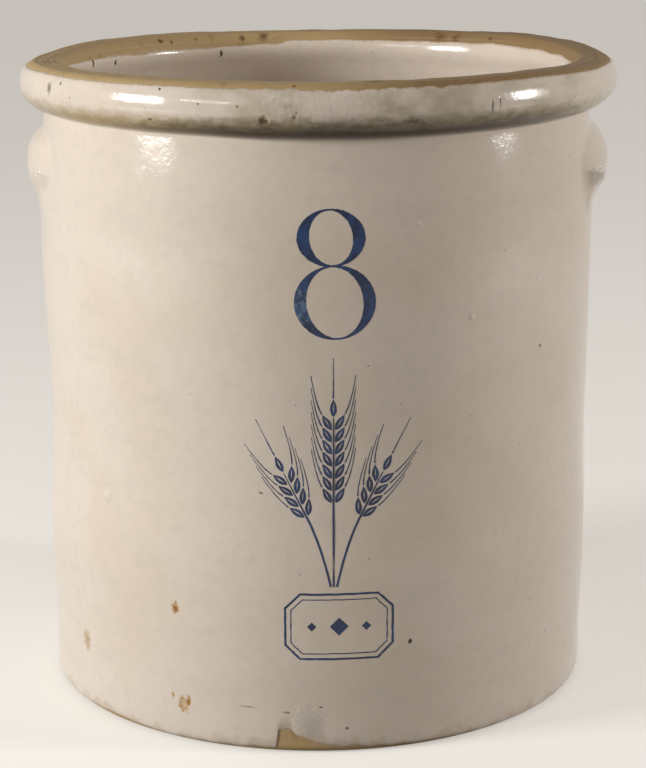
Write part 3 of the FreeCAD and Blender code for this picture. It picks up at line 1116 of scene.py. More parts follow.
@dataclass(frozen=True)
class FiredStoneware:
    """Buff stoneware, turned on the wheel and left bare at the lip and the foot.

    It gives a matt tan with fine turning lines round the crock, darker patches where the fire browned it,
    painted shade towards the right and dark grog.
    """

    tan: str = "#B99E6D"
    buff: str = "#C2A67A"
    toast_and_shade: str = "#85673F"
    grog: str = "#4A3822"
    line_gap: float = 1.6
    line_depth: float = 0.07
    patch_size: float = 9.0
    grain_size: float = 0.9
    grain_depth: float = 0.08
    grog_cell: float = 5.0
    grog_radius: float = 0.6
    grog_depth: float = -0.15
    roughness: float = 0.62
    ior: float = 1.5

    def material(self, crock: Crock, blemishes: Sequence[Blemish]) -> bpy.types.Material:
        """The bare clay, with painted shade that browns it towards the right.

        Args:
            crock: The crock, which says where a blemish lies.
            blemishes: The clay's stains and chips.

        Returns:
            The finish of the body and the ears.
        """
        sheet = Sheet("fired_stoneware")
        ringed = sheet.add(Node.PLUS, sheet.radius, sheet.level)
        lines = sheet.add(Node.LINES, ringed, 1 / self.line_gap, 3.0)
        buff = sheet.add(Node.RAMP, lines, 0.35, 0.7, 0.2, 0.7)
        colour = sheet.add(Node.MIX, buff, linear(self.tan), linear(self.buff))
        # Painted shade: the clay browns towards the right, which the lamps light less from above.
        painted_shade_right = sheet.add(Node.RAMP, sheet.x, -10.0, 75.0, 0.0, 0.75)
        patches = sheet.cloudy(self.patch_size, 5.0, 0.56, 0.72, 0.0, 0.4)
        for darkening in (painted_shade_right, patches):
            colour = sheet.add(Node.MIX, darkening, colour, linear(self.toast_and_shade))
        grog = sheet.specks(self.grog_cell, 0.8, self.grog_radius)
        colour = sheet.add(Node.MIX, sheet.add(Node.TIMES, grog, 0.75), colour, linear(self.grog))
        grain = sheet.add(Node.NOISE, sheet.place, 1 / self.grain_size, 2.0)
        relief = sheet.weighed((lines, self.line_depth), (grain, self.grain_depth), (grog, self.grog_depth))
        colour, relief = sheet.blemished(crock, blemishes, colour, relief)
        return sheet.finish(colour, self.roughness, relief, self.ior)


@dataclass(frozen=True)
class LutingSlip:
    """Creamy slip that glued the ears on and fired grey-buff, rougher than the clay."""

    slip: str = "#BCA682"
    dark: str = "#8B7350"
    grain: float = 1.6
    depth: float = 0.2
    roughness: float = 0.8
    ior: float = 1.5

    def material(self) -> bpy.types.Material:
        """The slip between ear and wall.

        Returns:
            The finish of both beds of slip.
        """
        sheet = Sheet("luting_slip")
        grain = sheet.add(Node.NOISE, sheet.place, 1 / self.grain, 3.0)
        dark = sheet.add(Node.RAMP, grain, 0.35, 0.7)
        colour = sheet.add(Node.MIX, dark, linear(self.slip), linear(self.dark))
        return sheet.finish(colour, self.roughness, sheet.add(Node.TIMES, grain, self.depth), self.ior)


@dataclass(frozen=True)
class CobaltStain:
    """Cobalt transferred under the glaze, which fired over it and kept its gloss.

    It gives a deep ink blue that breaks to a paler, mottled blue where the print was thin.
    """

    deep: str = "#12264E"
    mid: str = "#204275"
    pale: str = "#7091AA"
    bare: str = "#B9B4A8"
    blotch: float = 9.0
    mottle: float = 2.6
    mottle_depth: float = 0.05
    dot_cell: float = 2.2
    dot_radius: float = 0.3
    worn_bearing: float = -3.2
    worn_level: float = 268.0
    worn_reach: float = 17.0
    roughness: float = 0.16
    ior: float = 1.5

    def material(self, crock: Crock) -> bpy.types.Material:
        """The blue, palest round the worn place on the numeral.

        Args:
            crock: The crock, which says where the worn place lies.

        Returns:
            The finish for the marks.
        """
        sheet = Sheet("cobalt_stain")
        worn_at = crock.wall_point(np.array([self.worn_bearing]), np.array([self.worn_level]), 0.0)[0]
        away = sheet.add(Node.DISTANCE, sheet.place, tuple(worn_at))
        worn = sheet.add(Node.RAMP, away, 0.0, self.worn_reach, 0.3, 0.0)
        dotted = sheet.add(Node.RAMP, away, 0.0, self.worn_reach * 1.4, 0.9, 0.12)
        blotch = sheet.cloudy(self.blotch, 3.0, 0.38, 0.68)
        colour = sheet.add(Node.MIX, blotch, linear(self.deep), linear(self.mid))
        mottle = sheet.add(Node.NOISE, sheet.place, 1 / self.mottle, 5.0)
        thin = sheet.add(Node.RAMP, sheet.add(Node.PLUS, mottle, worn), 0.6, 0.95, 0.0, 0.85)
        colour = sheet.add(Node.MIX, thin, colour, linear(self.pale))
        dots = sheet.add(Node.TIMES, sheet.specks(self.dot_cell, 0.8, self.dot_radius), dotted)
        colour = sheet.add(Node.MIX, dots, colour, linear(self.bare))
        relief = sheet.add(Node.TIMES, mottle, self.mottle_depth)
        return sheet.finish(colour, self.roughness, relief, self.ior)


@dataclass
class ClayBody:
    """The turned body: floor, wall and rolled rim in one piece of clay."""

    crock: Crock
    column_spacing: float = 1.25
    lip_row: float = 0.7
    corner_row: float = 1.2
    floor_row: float = 3.0
    wall_row: float = 7.0
    middle: float = 2.0
    hidden_depth: float = 0.4
    bare_foot: tuple[float, float] = (20.0, 30.0)
    bare_lip: tuple[float, float] = (14.0, 8.0)
    lathed: tuple[float, float] = (30.0, 6.0)
    lathe: Waves = Waves(seed=21, depth=0.09, most_turns=2, shortest_rise=2.2)
    chips: Waves = Waves(seed=22, depth=0.10, most_turns=60, shortest_rise=9.0, count=24)

    def mesh(self) -> bpy.types.Object:
        """Makes the clay's closed mesh, with rows close together on the bare lip.

        Returns:
            The new object.
        """
        crock = self.crock
        bearing = np.arange(-180, 180, self.column_spacing)[None, :]
        outside, inside = crock.outside(0.0), crock.inside(0.0)
        finer = [
            Band(float(outside.along[-1]), 16.0, self.lip_row),
            Band(outside.along_at(crock.crease_level), 6.0, self.corner_row),
            Band(0.0, 20.0, self.corner_row),
        ]
        rows = graded(0.0, float(outside.along[-1]), self.wall_row, finer)
        shell = Shell()
        outer = shell.grid(self.points(outside, rows[:, None], bearing))
        flat = np.linspace(0, crock.lip_width, round(crock.lip_width / self.lip_row) + 1)[1:-1]
        lip = Path(outside.radius[-1] - np.array([0.0, crock.lip_width]), np.array([crock.height] * 2))
        top = shell.grid(self.points(lip, flat[:, None], bearing))
        mouth = Band(0.0, 14.0, self.lip_row)
        round_floor = Band(inside.along[-1] - crock.rim_radius, 14.0, self.floor_row)
        rows = graded(0.0, float(inside.along[-1]) - self.middle, self.wall_row, [mouth, round_floor])
        inner = shell.grid(self.points(inside, rows[:, None], bearing))
        shell.join(outer[-1], top[0])
        shell.join(top[-1], inner[0])
        shell.fan(inner[-1], np.array([0, 0, crock.floor_thickness]))
        shell.fan(outer[0], np.array([0, 0, 0]))
        return shell.make("clay_body")

    def points(self, path: Path, along: np.ndarray, bearing: np.ndarray) -> np.ndarray:
        """Points of the clay's skin, with the lathe's fine marks where it is bare.

        Where glaze covers it, the skin lies a little deeper, so that it doesn't show through.

        Args:
            path: The half section.
            along: Distances along it.
            bearing: Bearings in degrees.

        Returns:
            An array of points in mm, its last axis x, y and z.
        """
        radius, level, _, _ = path.at(along)
        top = self.crock.height
        near_lip = smooth_step(top - self.lathed[0], top - self.lathed[1], level)
        fine = self.lathe.at(bearing, radius + level) + self.chips.at(bearing, radius + level)
        covered = smooth_step(*self.bare_foot, level)
        covered = covered * (1 - smooth_step(top - self.bare_lip[0], top - self.bare_lip[1], level))
        return self.crock.surface(path, along, bearing, fine * near_lip - self.hidden_depth * covered)


@dataclass
class OuterGlaze:
    """The coat over the wall, the rolled rim and the ears, thin and uneven at its two edges."""

    crock: Crock
    column_spacing: float = 1.5
    row_spacing: float = 5.0
    hidden_row_spacing: float = 14.0
    crisp: float = 60.0
    softness: float = 0.9
    lip_edge: float = 6.0
    thin_edge: float = 0.1
    foot_taper: float = 2.6
    lip_taper: float = 1.1
    edge_reach: float = 26.0
    ragged_front: Controls = ((-16.0, 0.1), (-8.0, 1.0), (20.0, 1.0), (34.0, 0.1))
    foot_line: Controls = (
        (-180.0, 1.4), (-120.0, 1.8), (-60.0, 1.0), (-53.0, 2.6), (-47.0, 3.4), (-41.0, 2.8), (-35.0, 1.4),
        (-22.0, 1.2), (-14.0, 2.0), (-8.4, 2.6), (-8.1, 6.0), (-7.9, 13.2), (-7.0, 14.6), (-5.1, 14.5),
        (-4.4, 11.6), (-3.4, 10.2), (-2.0, 8.6), (-0.6, 6.6), (1.5, 5.2), (5.0, 4.0), (14.0, 2.6),
        (40.0, 1.4), (60.0, 1.2), (110.0, 2.4), (150.0, 1.5),
    )
    lip_waves: Waves = Waves(seed=31, depth=0.22, most_turns=14, shortest_rise=1e6, count=20)
    ragged_waves: Waves = Waves(seed=34, depth=0.6, most_turns=110, shortest_rise=1e6, count=40)
    foot_waves: Waves = Waves(seed=32, depth=0.3, most_turns=90, shortest_rise=1e6, count=40)

    def mesh(self) -> bpy.types.Object:
        """Makes the coat's closed mesh.

        Its points carry their distance from the coat's edge in mm, and how much painted shade and dirt lie
        on them.

        Returns:
            The new object.
        """
        crock = self.crock
        path = crock.outside(crock.glaze).smoothed(self.softness)
        bearing, rows, hidden_rows = self.stations(path)
        low, high = self.lower_edge(path, bearing), self.upper_edge(path, bearing)
        along = self.fitted(rows, low, high)
        edge = np.minimum(along - low, high - along)
        _, level, _, _ = path.at(along)
        lift = crock.lifted(bearing, level) - self.taper(edge, level)
        shell = Shell(self.crisp)
        outer = shell.grid(crock.surface(path, along, bearing, lift))
        hidden_along = self.fitted(hidden_rows, low, high)
        inner = shell.grid(crock.surface(path, hidden_along, bearing, crock.under_glaze))
        shell.join(inner[0], outer[0])
        shell.join(outer[-1], inner[-1])
        none = np.zeros(inner.size)
        carried = {
            "edge": np.concatenate([edge.ravel(), none]),
            # How much painted shade and dirt darken the ears' coves.
            "shade_and_grime": np.concatenate([crock.shade_and_grime(bearing, level).ravel(), none]),
        }
        return shell.make("glaze_outside_coat", carried)

    def stations(self, path: Path) -> tuple[np.ndarray, np.ndarray, np.ndarray]:
        """Spreads the mesh's stations, closer together where the coat has detail.

        Args:
            path: The coat's half section.

        Returns:
            Bearings, the rows of the face and the rows of the hidden side.
        """
        crock, total = self.crock, float(path.along[-1])
        at_crease = path.along_at(crock.crease_level)
        at_ears = path.along_at(crock.ears[0].level)
        across = [Band(ear.bearing, 22.0, 0.6) for ear in crock.ears]
        # The bare patch at the foot has a steep side, and the dirt with painted shade and the lumps lie
        # over the front.
        across += [Band(-6.2, 3.2, 0.22), Band(0.0, 34.0, 0.9)]
        bearing = graded(-180.0, 180.0, self.column_spacing, across)[:-1][None, :]
        # In this order: foot, ears, the ears' lips, the coat's end on the lip, the roll, the crease.
        up = [Band(0.0, 14.0, 1.4), Band(at_ears - 6.0, 32.0, 1.5), Band(at_ears - 12.0, 7.0, 0.8),
              Band(total, 10.0, 0.8), Band(total - 20.0, 16.0, 1.6), Band(at_crease, 5.0, 0.9)]
        hidden = [Band(total - 20, 22, 3.2), Band(0, 10, 2.8), Band(at_crease, 6, 2.0)]
        rows = graded(0.0, total, self.row_spacing, up)[:, None]
        return bearing, rows, graded(0.0, total, self.hidden_row_spacing, hidden)[:, None]

    def fitted(self, rows: np.ndarray, low: np.ndarray, high: np.ndarray) -> np.ndarray:
        """Bends the rows near both ends so that the first and last follow the coat's edges.

        Args:
            rows: Distances along the section, the last at its end.
            low: Where the coat begins, by bearing.
            high: Where it ends, by bearing.

        Returns:
            The bent rows.
        """
        total = rows[-1]
        near_low = 1 - smooth_step(0, self.edge_reach, rows)
        near_high = smooth_step(total - self.edge_reach, total, rows)
        return rows + low * near_low + (high - total) * near_high

    def upper_edge(self, path: Path, bearing: np.ndarray) -> np.ndarray:
        """Where the coat ends on the crown of the rim: more ragged over the front.

        Args:
            path: The coat's half section.
            bearing: Bearings in degrees.

        Returns:
            Distances along the section.
        """
        rough = eased(bearing, self.ragged_front)
        waves = self.lip_waves.round(bearing) + self.ragged_waves.round(bearing) * rough
        return path.along[-1] - self.lip_edge + waves

    def lower_edge(self, path: Path, bearing: np.ndarray) -> np.ndarray:
        """Where the coat ends above the floor: higher over a patch near the front that stayed bare.

        Args:
            path: The coat's half section.
            bearing: Bearings in degrees.

        Returns:
            Distances along the section.
        """
        places, levels = np.array(self.foot_line).T
        level = np.interp(bearing, places, levels, period=360.0) + self.foot_waves.round(bearing)
        lowest = 0.6
        return np.interp(np.maximum(level, lowest), path.level, path.along)

    def taper(self, edge: np.ndarray, level: np.ndarray) -> np.ndarray:
        """How much thinner the coat is close to its edge, in mm. At the foot it thins more slowly."""
        reach = np.where(level < self.crock.height / 2, self.foot_taper, self.lip_taper)
        return (self.crock.glaze - self.thin_edge) * np.exp(-np.maximum(edge, 0.0) / reach)


@dataclass
class InnerGlaze:
    """The coat on the floor, up the bore and over the bead to the bare lip."""

    crock: Crock
    column_spacing: float = 1.25
    row_spacing: float = 7.0
    crisp: float = 60.0
    middle: float = 2.0
    lip_edge: float = 10.2
    thin_edge: float = 0.14
    taper: float = 1.0
    low_side: Controls = (
        (-180.0, 0.0), (-172.0, 0.0), (-170.6, 2.4), (-150.0, 4.2), (-112.0, 3.6), (-80.0, 0.6), (0.0, 0.0),
    )
    waves: Waves = Waves(seed=41, depth=0.3, most_turns=36, shortest_rise=1e6, count=30)
    streaks: Waves = Waves(seed=42, depth=0.12, most_turns=5, shortest_rise=40.0)

    def mesh(self) -> bpy.types.Object:
        """Makes the coat's closed mesh, whose points carry their distance from the coat's edge in mm.

        Returns:
            The new object.
        """
        crock = self.crock
        bearing = np.arange(-180, 180, self.column_spacing)[None, :]
        path = crock.inside(crock.glaze)
        start = self.edge_line(bearing)
        end = float(path.along[-1]) - self.middle
        finer = [Band(0.0, 20.0, 1.0), Band(end - crock.rim_radius, 16.0, 2.6)]
        rows = graded(0.0, end, self.row_spacing, finer)[:, None]
        along = rows + start * (1 - smooth_step(0, 30, rows))
        edge = along - start
        lift = (self.thin_edge - crock.glaze) * np.exp(-np.maximum(edge, 0.0) / self.taper)
        lift = lift + self.streaks.at(bearing, along) * smooth_step(5, 30, edge)
        shell = Shell(self.crisp)
        outer = shell.grid(crock.surface(path, along, bearing, lift))
        inner = shell.grid(crock.surface(path, along, bearing, np.full_like(lift, crock.under_glaze)))
        shell.join(outer[0], inner[0])
        shell.fan(outer[-1], np.array([0, 0, crock.floor_thickness + crock.glaze]))
        shell.fan(inner[-1], np.array([0, 0, crock.floor_thickness - crock.bite]))
        far = [float(edge.max())] * 2
        carried = np.concatenate([edge.ravel(), np.zeros(inner.size), far])
        return shell.make("glaze_inside_coat", {"edge": carried})

    def edge_line(self, bearing: np.ndarray) -> np.ndarray:
        """Where the coat ends below the lip: lower, from a step on, over the back left.

        Args:
            bearing: Bearings in degrees.

        Returns:
            Distances along the section.
        """
        places, drops = np.array(self.low_side).T
        low = np.interp(bearing, places, drops, period=360.0)
        return self.lip_edge + self.waves.round(bearing) + low


@dataclass
class EarLug:
    """The clay of one ear, from the wall out to just under the glaze, or its thin bed of slip."""

    crock: Crock
    ear: Ear
    name: str
    back: float = 0.2
    most: float = 20.0
    inset: float = 0.8
    side_inset: float = 2.5
    corner: float = 0.8
    side_taper: float = 0.12
    root: float = 0.3
    thinnest: float = 0.2
    rows: int = 44
    columns: int = 120

    def mesh(self) -> bpy.types.Object:
        """Makes a closed lens between the wall and the ear's face.

        Returns:
            The new object.
        """
        crock, ear = self.crock, self.ear
        reach_up, reach_down = ear.brow - self.inset, ear.tail - self.inset
        turns = np.linspace(0, 2 * math.pi, self.columns, endpoint=False)
        spread = np.linspace(0.02, 1.0, self.rows)[:, None]
        arch = np.where(np.sin(turns) > 0, reach_up, reach_down)
        square = np.abs(np.sin(turns)) ** self.corner * np.sign(np.sin(turns))
        half = math.degrees((ear.half_width - self.side_inset) / crock.wall_radius)
        taper = 1 - self.side_taper * np.abs(np.sin(turns))
        bearing = ear.bearing + half * spread * np.cos(turns) * taper
        level = ear.level + arch * spread * square
        path = crock.outside(0.0)
        along = np.interp(level, path.level, path.along)
        fade = 1 - smooth_step(0.9, 1.0, spread)
        rise = np.maximum(crock.lifted(bearing, level) - self.inset, 0.0) * fade - self.root
        rise = np.minimum(rise, self.most)
        depth = np.minimum(rise - self.thinnest, self.back)
        shell = Shell()
        face = shell.grid(crock.surface(path, along, bearing, rise))
        back = shell.grid(crock.surface(path, along, bearing, depth))
        middle, turn = np.array([path.along_at(ear.level)]), np.array([ear.bearing])
        peak = min(ear.proud - self.inset - self.root, self.most)
        centre = crock.surface(path, middle, turn, np.array([peak]))[0]
        behind = crock.surface(path, middle, turn, np.array([self.back]))[0]
        shell.fan(face[0], centre)
        shell.fan(back[0], behind)
        shell.join(face[-1], back[-1])
        return shell.make(self.name)


Outline = list[tuple[float, float]]


def ring(
    centre: tuple[float, float], width: float, height: float, tilt: float = 0.0, points: int = 120,
) -> Outline:
    """Draws an ellipse as seen from the front.

    Args:
        centre: Its middle, right and up, in mm.
        width: Its width.
        height: Its height.
        tilt: How far it leans to the left, in degrees.
        points: How many points it gets.

    Returns:
        Its outline.
    """
    lean = math.radians(tilt)
    outline = []
    for step in range(points):
        turn = 2 * math.pi * step / points
        x, z = width / 2 * math.cos(turn), height / 2 * math.sin(turn)
        outline.append((centre[0] + x * math.cos(lean) - z * math.sin(lean),
                        centre[1] + x * math.sin(lean) + z * math.cos(lean)))
    return outline


def anticlockwise(outline: Outline) -> Outline:
    """The same outline, run anticlockwise."""
    area = sum(x0 * z1 - x1 * z0 for (x0, z0), (x1, z1) in zip(outline, outline[1:] + outline[:1]))
    return outline if area > 0 else outline[::-1]


@dataclass
class Mark:
    """A flat cobalt mark as seen from the front, laid on the glazed wall as a thin film."""

    crock: Crock
    name: str
    node: str
    painted: list[Outline] = field(default_factory=list)
    bare: list[Outline] = field(default_factory=list)
    lift: float = 0.07
    sunk: float = 0.12
    lattice: float = 2.5
    ragged: Waves = Waves(seed=51, depth=0.07, most_turns=900, shortest_rise=3.0, count=30)

    def mesh(self) -> bpy.types.Object:
        """Fills the painted outlines but for the bare ones, and wraps them on the wall.

        Returns:
            The new object.
        """
        outlines = [anticlockwise(outline) for outline in self.painted + self.bare]
        points: list[Vector] = []
        loops: list[list[int]] = []
        for outline in outlines:
            loops.append(list(range(len(points), len(points) + len(outline))))
            points += [Vector(corner) for corner in outline]
        points += self.inner_lattice(points)
        found, _, faces, _, _, origins = delaunay_2d_cdt(points, [], loops, 0, 1e-5)
        kept = [face for face, origin in zip(faces, origins) if self.is_painted(origin)]
        return self.film(np.array([point[:] for point in found]), kept)

    def is_painted(self, origin: Sequence[int]) -> bool:
        """Whether a triangle that lies in these outlines is painted."""
        wet = any(number < len(self.painted) for number in origin)
        return wet and not any(number >= len(self.painted) for number in origin)

    def inner_lattice(self, points: Sequence[Vector]) -> list[Vector]:
        """Adds points inside the mark, so that wide strokes follow the round wall.

        Args:
            points: The points of all outlines.

        Returns:
            A lattice over all of them.
        """
        low = [min(point[axis] for point in points) for axis in (0, 1)]
        high = [max(point[axis] for point in points) for axis in (0, 1)]
        counts = [int((high[axis] - low[axis]) / self.lattice) for axis in (0, 1)]
        return [Vector((low[0] + self.lattice * (column + 0.5), low[1] + self.lattice * (row + 0.37)))
                for column in range(counts[0]) for row in range(counts[1])]

    def film(self, flat: np.ndarray, faces: list[list[int]]) -> bpy.types.Object:
        """Wraps flat triangles on the wall and gives them thickness.

        Args:
            flat: Points, right and up, in mm.
            faces: The triangles, run anticlockwise.

        Returns:
            The new object.
        """
        used = sorted({corner for face in faces for corner in face})
        number = {corner: place for place, corner in enumerate(used)}
        flat = flat[used]
        bearing = np.degrees(np.arcsin(flat[:, 0] / (self.crock.wall_radius + self.crock.glaze)))
        shift = self.ragged.at(bearing, flat[:, 1])
        bearing = bearing + np.degrees(shift / self.crock.wall_radius)
        over = self.crock.wall_point(bearing, flat[:, 1] + shift, self.lift)
        under = self.crock.wall_point(bearing, flat[:, 1] + shift, -self.sunk)
        top = [tuple(number[corner] for corner in face) for face in faces]
        size = len(used)
        edges = {(face[a], face[a - 2]) for face in top for a in range(3)}
        rim = [(b, a, a + size, b + size) for a, b in edges if (b, a) not in edges]
        shell = Shell(crisp=40.0)
        shell.points = [over, under]
        shell.faces = top + [tuple(size + corner for corner in reversed(face)) for face in top] + rim
        return shell.make(self.name)


@dataclass(frozen=True)
class MarkPlaces:
    """Where the marks lie, down from the crease under the rim and right of the middle line."""

    crock: Crock
    drop: float = 38.7
    offset: float = 9.5
    panel_offset: float = 12.5
    upper_shift: float = -1.2
    lower_shift: float = 0.9
    upper_width: float = 38.3
    upper_height: float = 32.6
    lower_width: float = 45.8
    lower_height: float = 42.6
    hairline: float = 1.0
    stroke: float = 7.0
    stress: float = 9.0

    def numeral(self) -> Mark:
        """Draws the capacity numeral: two bowls with thick sides and hairline tops and bottoms.

        Returns:
            The numeral's mark.
        """
        mark = Mark(self.crock, "numeral_eight_print", "numeral_eight")
        top = self.crock.crease_level - self.drop
        upper = (self.offset + self.upper_shift, top - self.upper_height / 2)
        bottom = top - self.upper_height - self.lower_height + self.hairline
        lower = (self.offset + self.lower_shift, bottom + self.lower_height / 2)
        for centre, width, height in ((upper, self.upper_width, self.upper_height),
                                      (lower, self.lower_width, self.lower_height)):
            mark.painted.append(ring(centre, width, height))
            mark.bare.append(ring(centre, width - 2 * self.stroke, height - 2 * self.hairline, self.stress))
        return mark


@dataclass(frozen=True)
class Wheat:
    """Three bearded ears of wheat on stalks that fan out from one foot."""

    foot: tuple[float, float]
    stalk_height: float = 50.0
    stalk_width: float = 1.3
    side_height: float = 42.0
    side_reach: float = 14.0
    side_lean: float = 27.0
    pairs: int = 7
    side_pairs: int = 4
    grain_length: float = 10.5
    grain_width: float = 4.0
    spacing: float = 7.2
    splay: float = 30.0
    awn_length: float = 24.0
    awn_width: float = 0.8
    awn_splay: float = 15.0
    crease_widths: tuple[float, float, float] = (0.15, 0.7, 0.15)
    gap: float = 0.5

    def aim(self, degrees: float) -> Vector:
        """A direction in degrees from upright towards the right."""
        return Vector((math.sin(math.radians(degrees)), math.cos(math.radians(degrees))))

    def stroke(self, places: Sequence[Vector], widths: Sequence[float]) -> Outline:
        """Draws a pen stroke.

        Args:
            places: The places that it goes through.
            widths: How wide it is at each.

        Returns:
            The stroke's outline.
        """
        left, right = [], []
        for number, (place, width) in enumerate(zip(places, widths)):
            ahead = places[min(number + 1, len(places) - 1)] - places[max(number - 1, 0)]
            side = Vector((-ahead.y, ahead.x)).normalized() * width / 2
            left.append(tuple(place + side))
            right.append(tuple(place - side))
        return left + right[::-1]

    def bent(
        self, start: Vector, first: Vector, end: Vector, width: float, last: float, steps: int = 12,
    ) -> Outline:
        """Draws a stroke that bends once.

        Args:
            start: Where it starts.
            first: The place that it leaves its start towards.
            end: Where it ends.
            width: How wide it starts.
            last: How wide it ends.
            steps: How many pieces it has.

        Returns:
            The stroke's outline.
        """
        places = []
        for step in range(steps + 1):
            share = step / steps
            places.append(start * (1 - share) ** 2 + first * 2 * share * (1 - share) + end * share ** 2)
        return self.stroke(places, [width + (last - width) * step / steps for step in range(steps + 1)])

    def grain(self, base: Vector, direction: float) -> tuple[list[Outline], list[Outline]]:
        """Draws a pointed grain with a light crease down it.

        Args:
            base: The grain's foot.
            direction: Where it points, in degrees from upright towards the right.

        Returns:
            Its outline and its crease, each in a list.
        """
        along, side = self.aim(direction), self.aim(direction + 90)
        outline = []
        steps = 9
        fullness = 0.85
        for hand in (-1, 1):
            for step in range(steps):
                share = (step if hand < 0 else steps - step) / steps
                bulge = self.grain_width / 2 * math.sin(math.pi * share ** fullness)
                outline.append(tuple(base + along * self.grain_length * share + side * hand * bulge))
        crease = [base + along * self.grain_length * share for share in (0.22, 0.5, 0.8)]
        return [outline], [self.stroke(crease, self.crease_widths)]

    def ear(self, joint: Vector, lean: float, pairs: int) -> tuple[list[Outline], list[Outline]]:
        """Draws the grains and awns up one stalk.

        Args:
            joint: Where the lowest grains sit.
            lean: The stalk's lean in degrees to the right.
            pairs: How many pairs of grains it has under the one at its tip.

        Returns:
            The painted outlines and the bare ones in them.
        """
        painted: list[Outline] = []
        bare: list[Outline] = []
        seats = []
        aside = self.aim(lean + 90) * (self.stalk_width / 2 + self.gap)
        for pair in range(pairs):
            seat = joint + self.aim(lean) * self.spacing * pair
            seats += [(seat + aside * hand, hand) for hand in (-1, 1)]
        seats.append((joint + self.aim(lean) * (self.spacing * pairs + self.gap), 0))
        for base, hand in seats:
            direction = lean + hand * self.splay
            wet, dry = self.grain(base, direction)
            painted += wet
            bare += dry
            tip = base + self.aim(direction) * (self.grain_length + self.gap)
            far = tip + self.aim(lean + hand * self.awn_splay) * (self.awn_length - self.gap)
            bend = tip + self.aim(direction) * self.awn_length * 0.3
            painted.append(self.bent(tip, bend, far, self.awn_width, self.awn_width * 0.4))
        return painted, bare

    def mark(self, crock: Crock) -> Mark:
        """Draws the whole spray.

        Args:
            crock: The crock whose wall carries it.

        Returns:
            The spray's mark.
        """
        ragged = Waves(seed=52, depth=0.05, most_turns=900, shortest_rise=3.0, count=30)
        mark = Mark(crock, "wheat_spray_print", "wheat_spray", ragged=ragged)
        foot = Vector(self.foot)
        joint = foot + self.aim(0) * self.stalk_height
        head = joint + self.aim(0) * self.spacing * self.pairs
        widths = [self.stalk_width, self.stalk_width, self.stalk_width / 2]
        mark.painted.append(self.stroke([foot, joint, head], widths))
        ears = [(joint, 0.0, self.pairs)]
        for hand in (-1, 1):
            start = foot + Vector((hand * (self.stalk_width + self.gap), 0))
            joint = start + Vector((hand * self.side_reach, self.side_height))
            lean = hand * self.side_lean
            head = joint + self.aim(lean) * self.spacing * self.side_pairs
            bend = joint - self.aim(lean) * self.side_height * 0.45
            curve = self.bent(start, bend, joint, self.stalk_width, self.stalk_width)
            half = len(curve) // 2
            tips = [tuple(head + self.aim(lean + 90) * side * self.stalk_width / 4) for side in (-1, 1)]
            mark.painted.append(curve[:half] + tips + curve[half:])
            ears.append((joint, lean, self.side_pairs))
        for ear in ears:
            painted, bare = self.ear(*ear)
            mark.painted += painted
            mark.bare += bare
        return mark


@dataclass(frozen=True)
class Panel:
    """A double-bordered panel with clipped corners that holds three plain lozenges."""

    centre: tuple[float, float]
    width: float = 64.0
    height: float = 41.0
    clip: float = 9.0
    border: float = 1.3
    margin: float = 3.6
    lozenge: float = 11.0
    spacing: float = 16.0

    def clipped(self, depth: float) -> Outline:
        """Draws the panel's outline.

        Args:
            depth: How far it is drawn in from the panel's edge.

        Returns:
            The outline, with points along its sides so that it follows the round wall.
        """
        x, z = self.width / 2 - depth, self.height / 2 - depth
        clip = self.clip - depth * (2 - math.sqrt(2))
        corners = [(x, z - clip), (x - clip, z), (-x + clip, z), (-x, z - clip)]
        corners += [(-a, -b) for a, b in corners]
        steps = 16
        outline: Outline = []
        for (x0, z0), (x1, z1) in zip(corners, corners[1:] + corners[:1]):
            for step in range(steps):
                x = self.centre[0] + x0 + (x1 - x0) * step / steps
                z = self.centre[1] + z0 + (z1 - z0) * step / steps
                outline.append((x, z))
        return outline

    def diamond(self, across: float, size: float) -> Outline:
        """An upright square on its corner."""
        corners = [(-size / 2, 0.0), (0.0, size / 2), (size / 2, 0.0), (0.0, -size / 2)]
        return [(self.centre[0] + across + x, self.centre[1] + z) for x, z in corners]

    def marks(self, crock: Crock) -> list[Mark]:
        """Draws the outer border, the inner border and the lozenges.

        Args:
            crock: The crock whose wall carries them.

        Returns:
            Three marks.
        """
        found = []
        for name, depth, width in (("outer", 0.0, self.border), ("inner", self.margin, self.border / 2)):
            found.append(Mark(crock, "panel_%s_border" % name, "bordered_panel",
                              [self.clipped(depth)], [self.clipped(depth + width)]))
        diamonds = [self.diamond(0.0, self.lozenge)]
        diamonds += [self.diamond(hand * self.spacing, self.lozenge / 2) for hand in (-1, 1)]
        return found + [Mark(crock, "panel_lozenges", "bordered_panel", diamonds)]


@dataclass(frozen=True)
class Lamp:
    """A soft box that looks at the crock."""

    name: str
    bearing: float
    elevation: float
    distance: float
    width: float
    height: float
    power: float
    tint: str = "#FFFFFF"

    def place(self, target: Vector) -> bpy.types.Object:
        """Hangs the lamp. Its distances and sizes are in metres.

        Args:
            target: What it looks at, in metres.

        Returns:
            The new light.
        """
        turn, lift = math.radians(self.bearing), math.radians(self.elevation)
        away = Vector((math.sin(turn) * math.cos(lift), -math.cos(turn) * math.cos(lift), math.sin(lift)))
        light = bpy.data.lights.new(self.name, "AREA")
        light.shape = "RECTANGLE"
        light.size, light.size_y = self.width, self.height
        light.energy = self.power
        light.color = linear(self.tint)[:3]
        lamp = bpy.data.objects.new(self.name, light)
        lamp.location = target + away * self.distance
        lamp.rotation_euler = away.to_track_quat("Z", "Y").to_euler()
        bpy.context.scene.collection.objects.link(lamp)
        return lamp


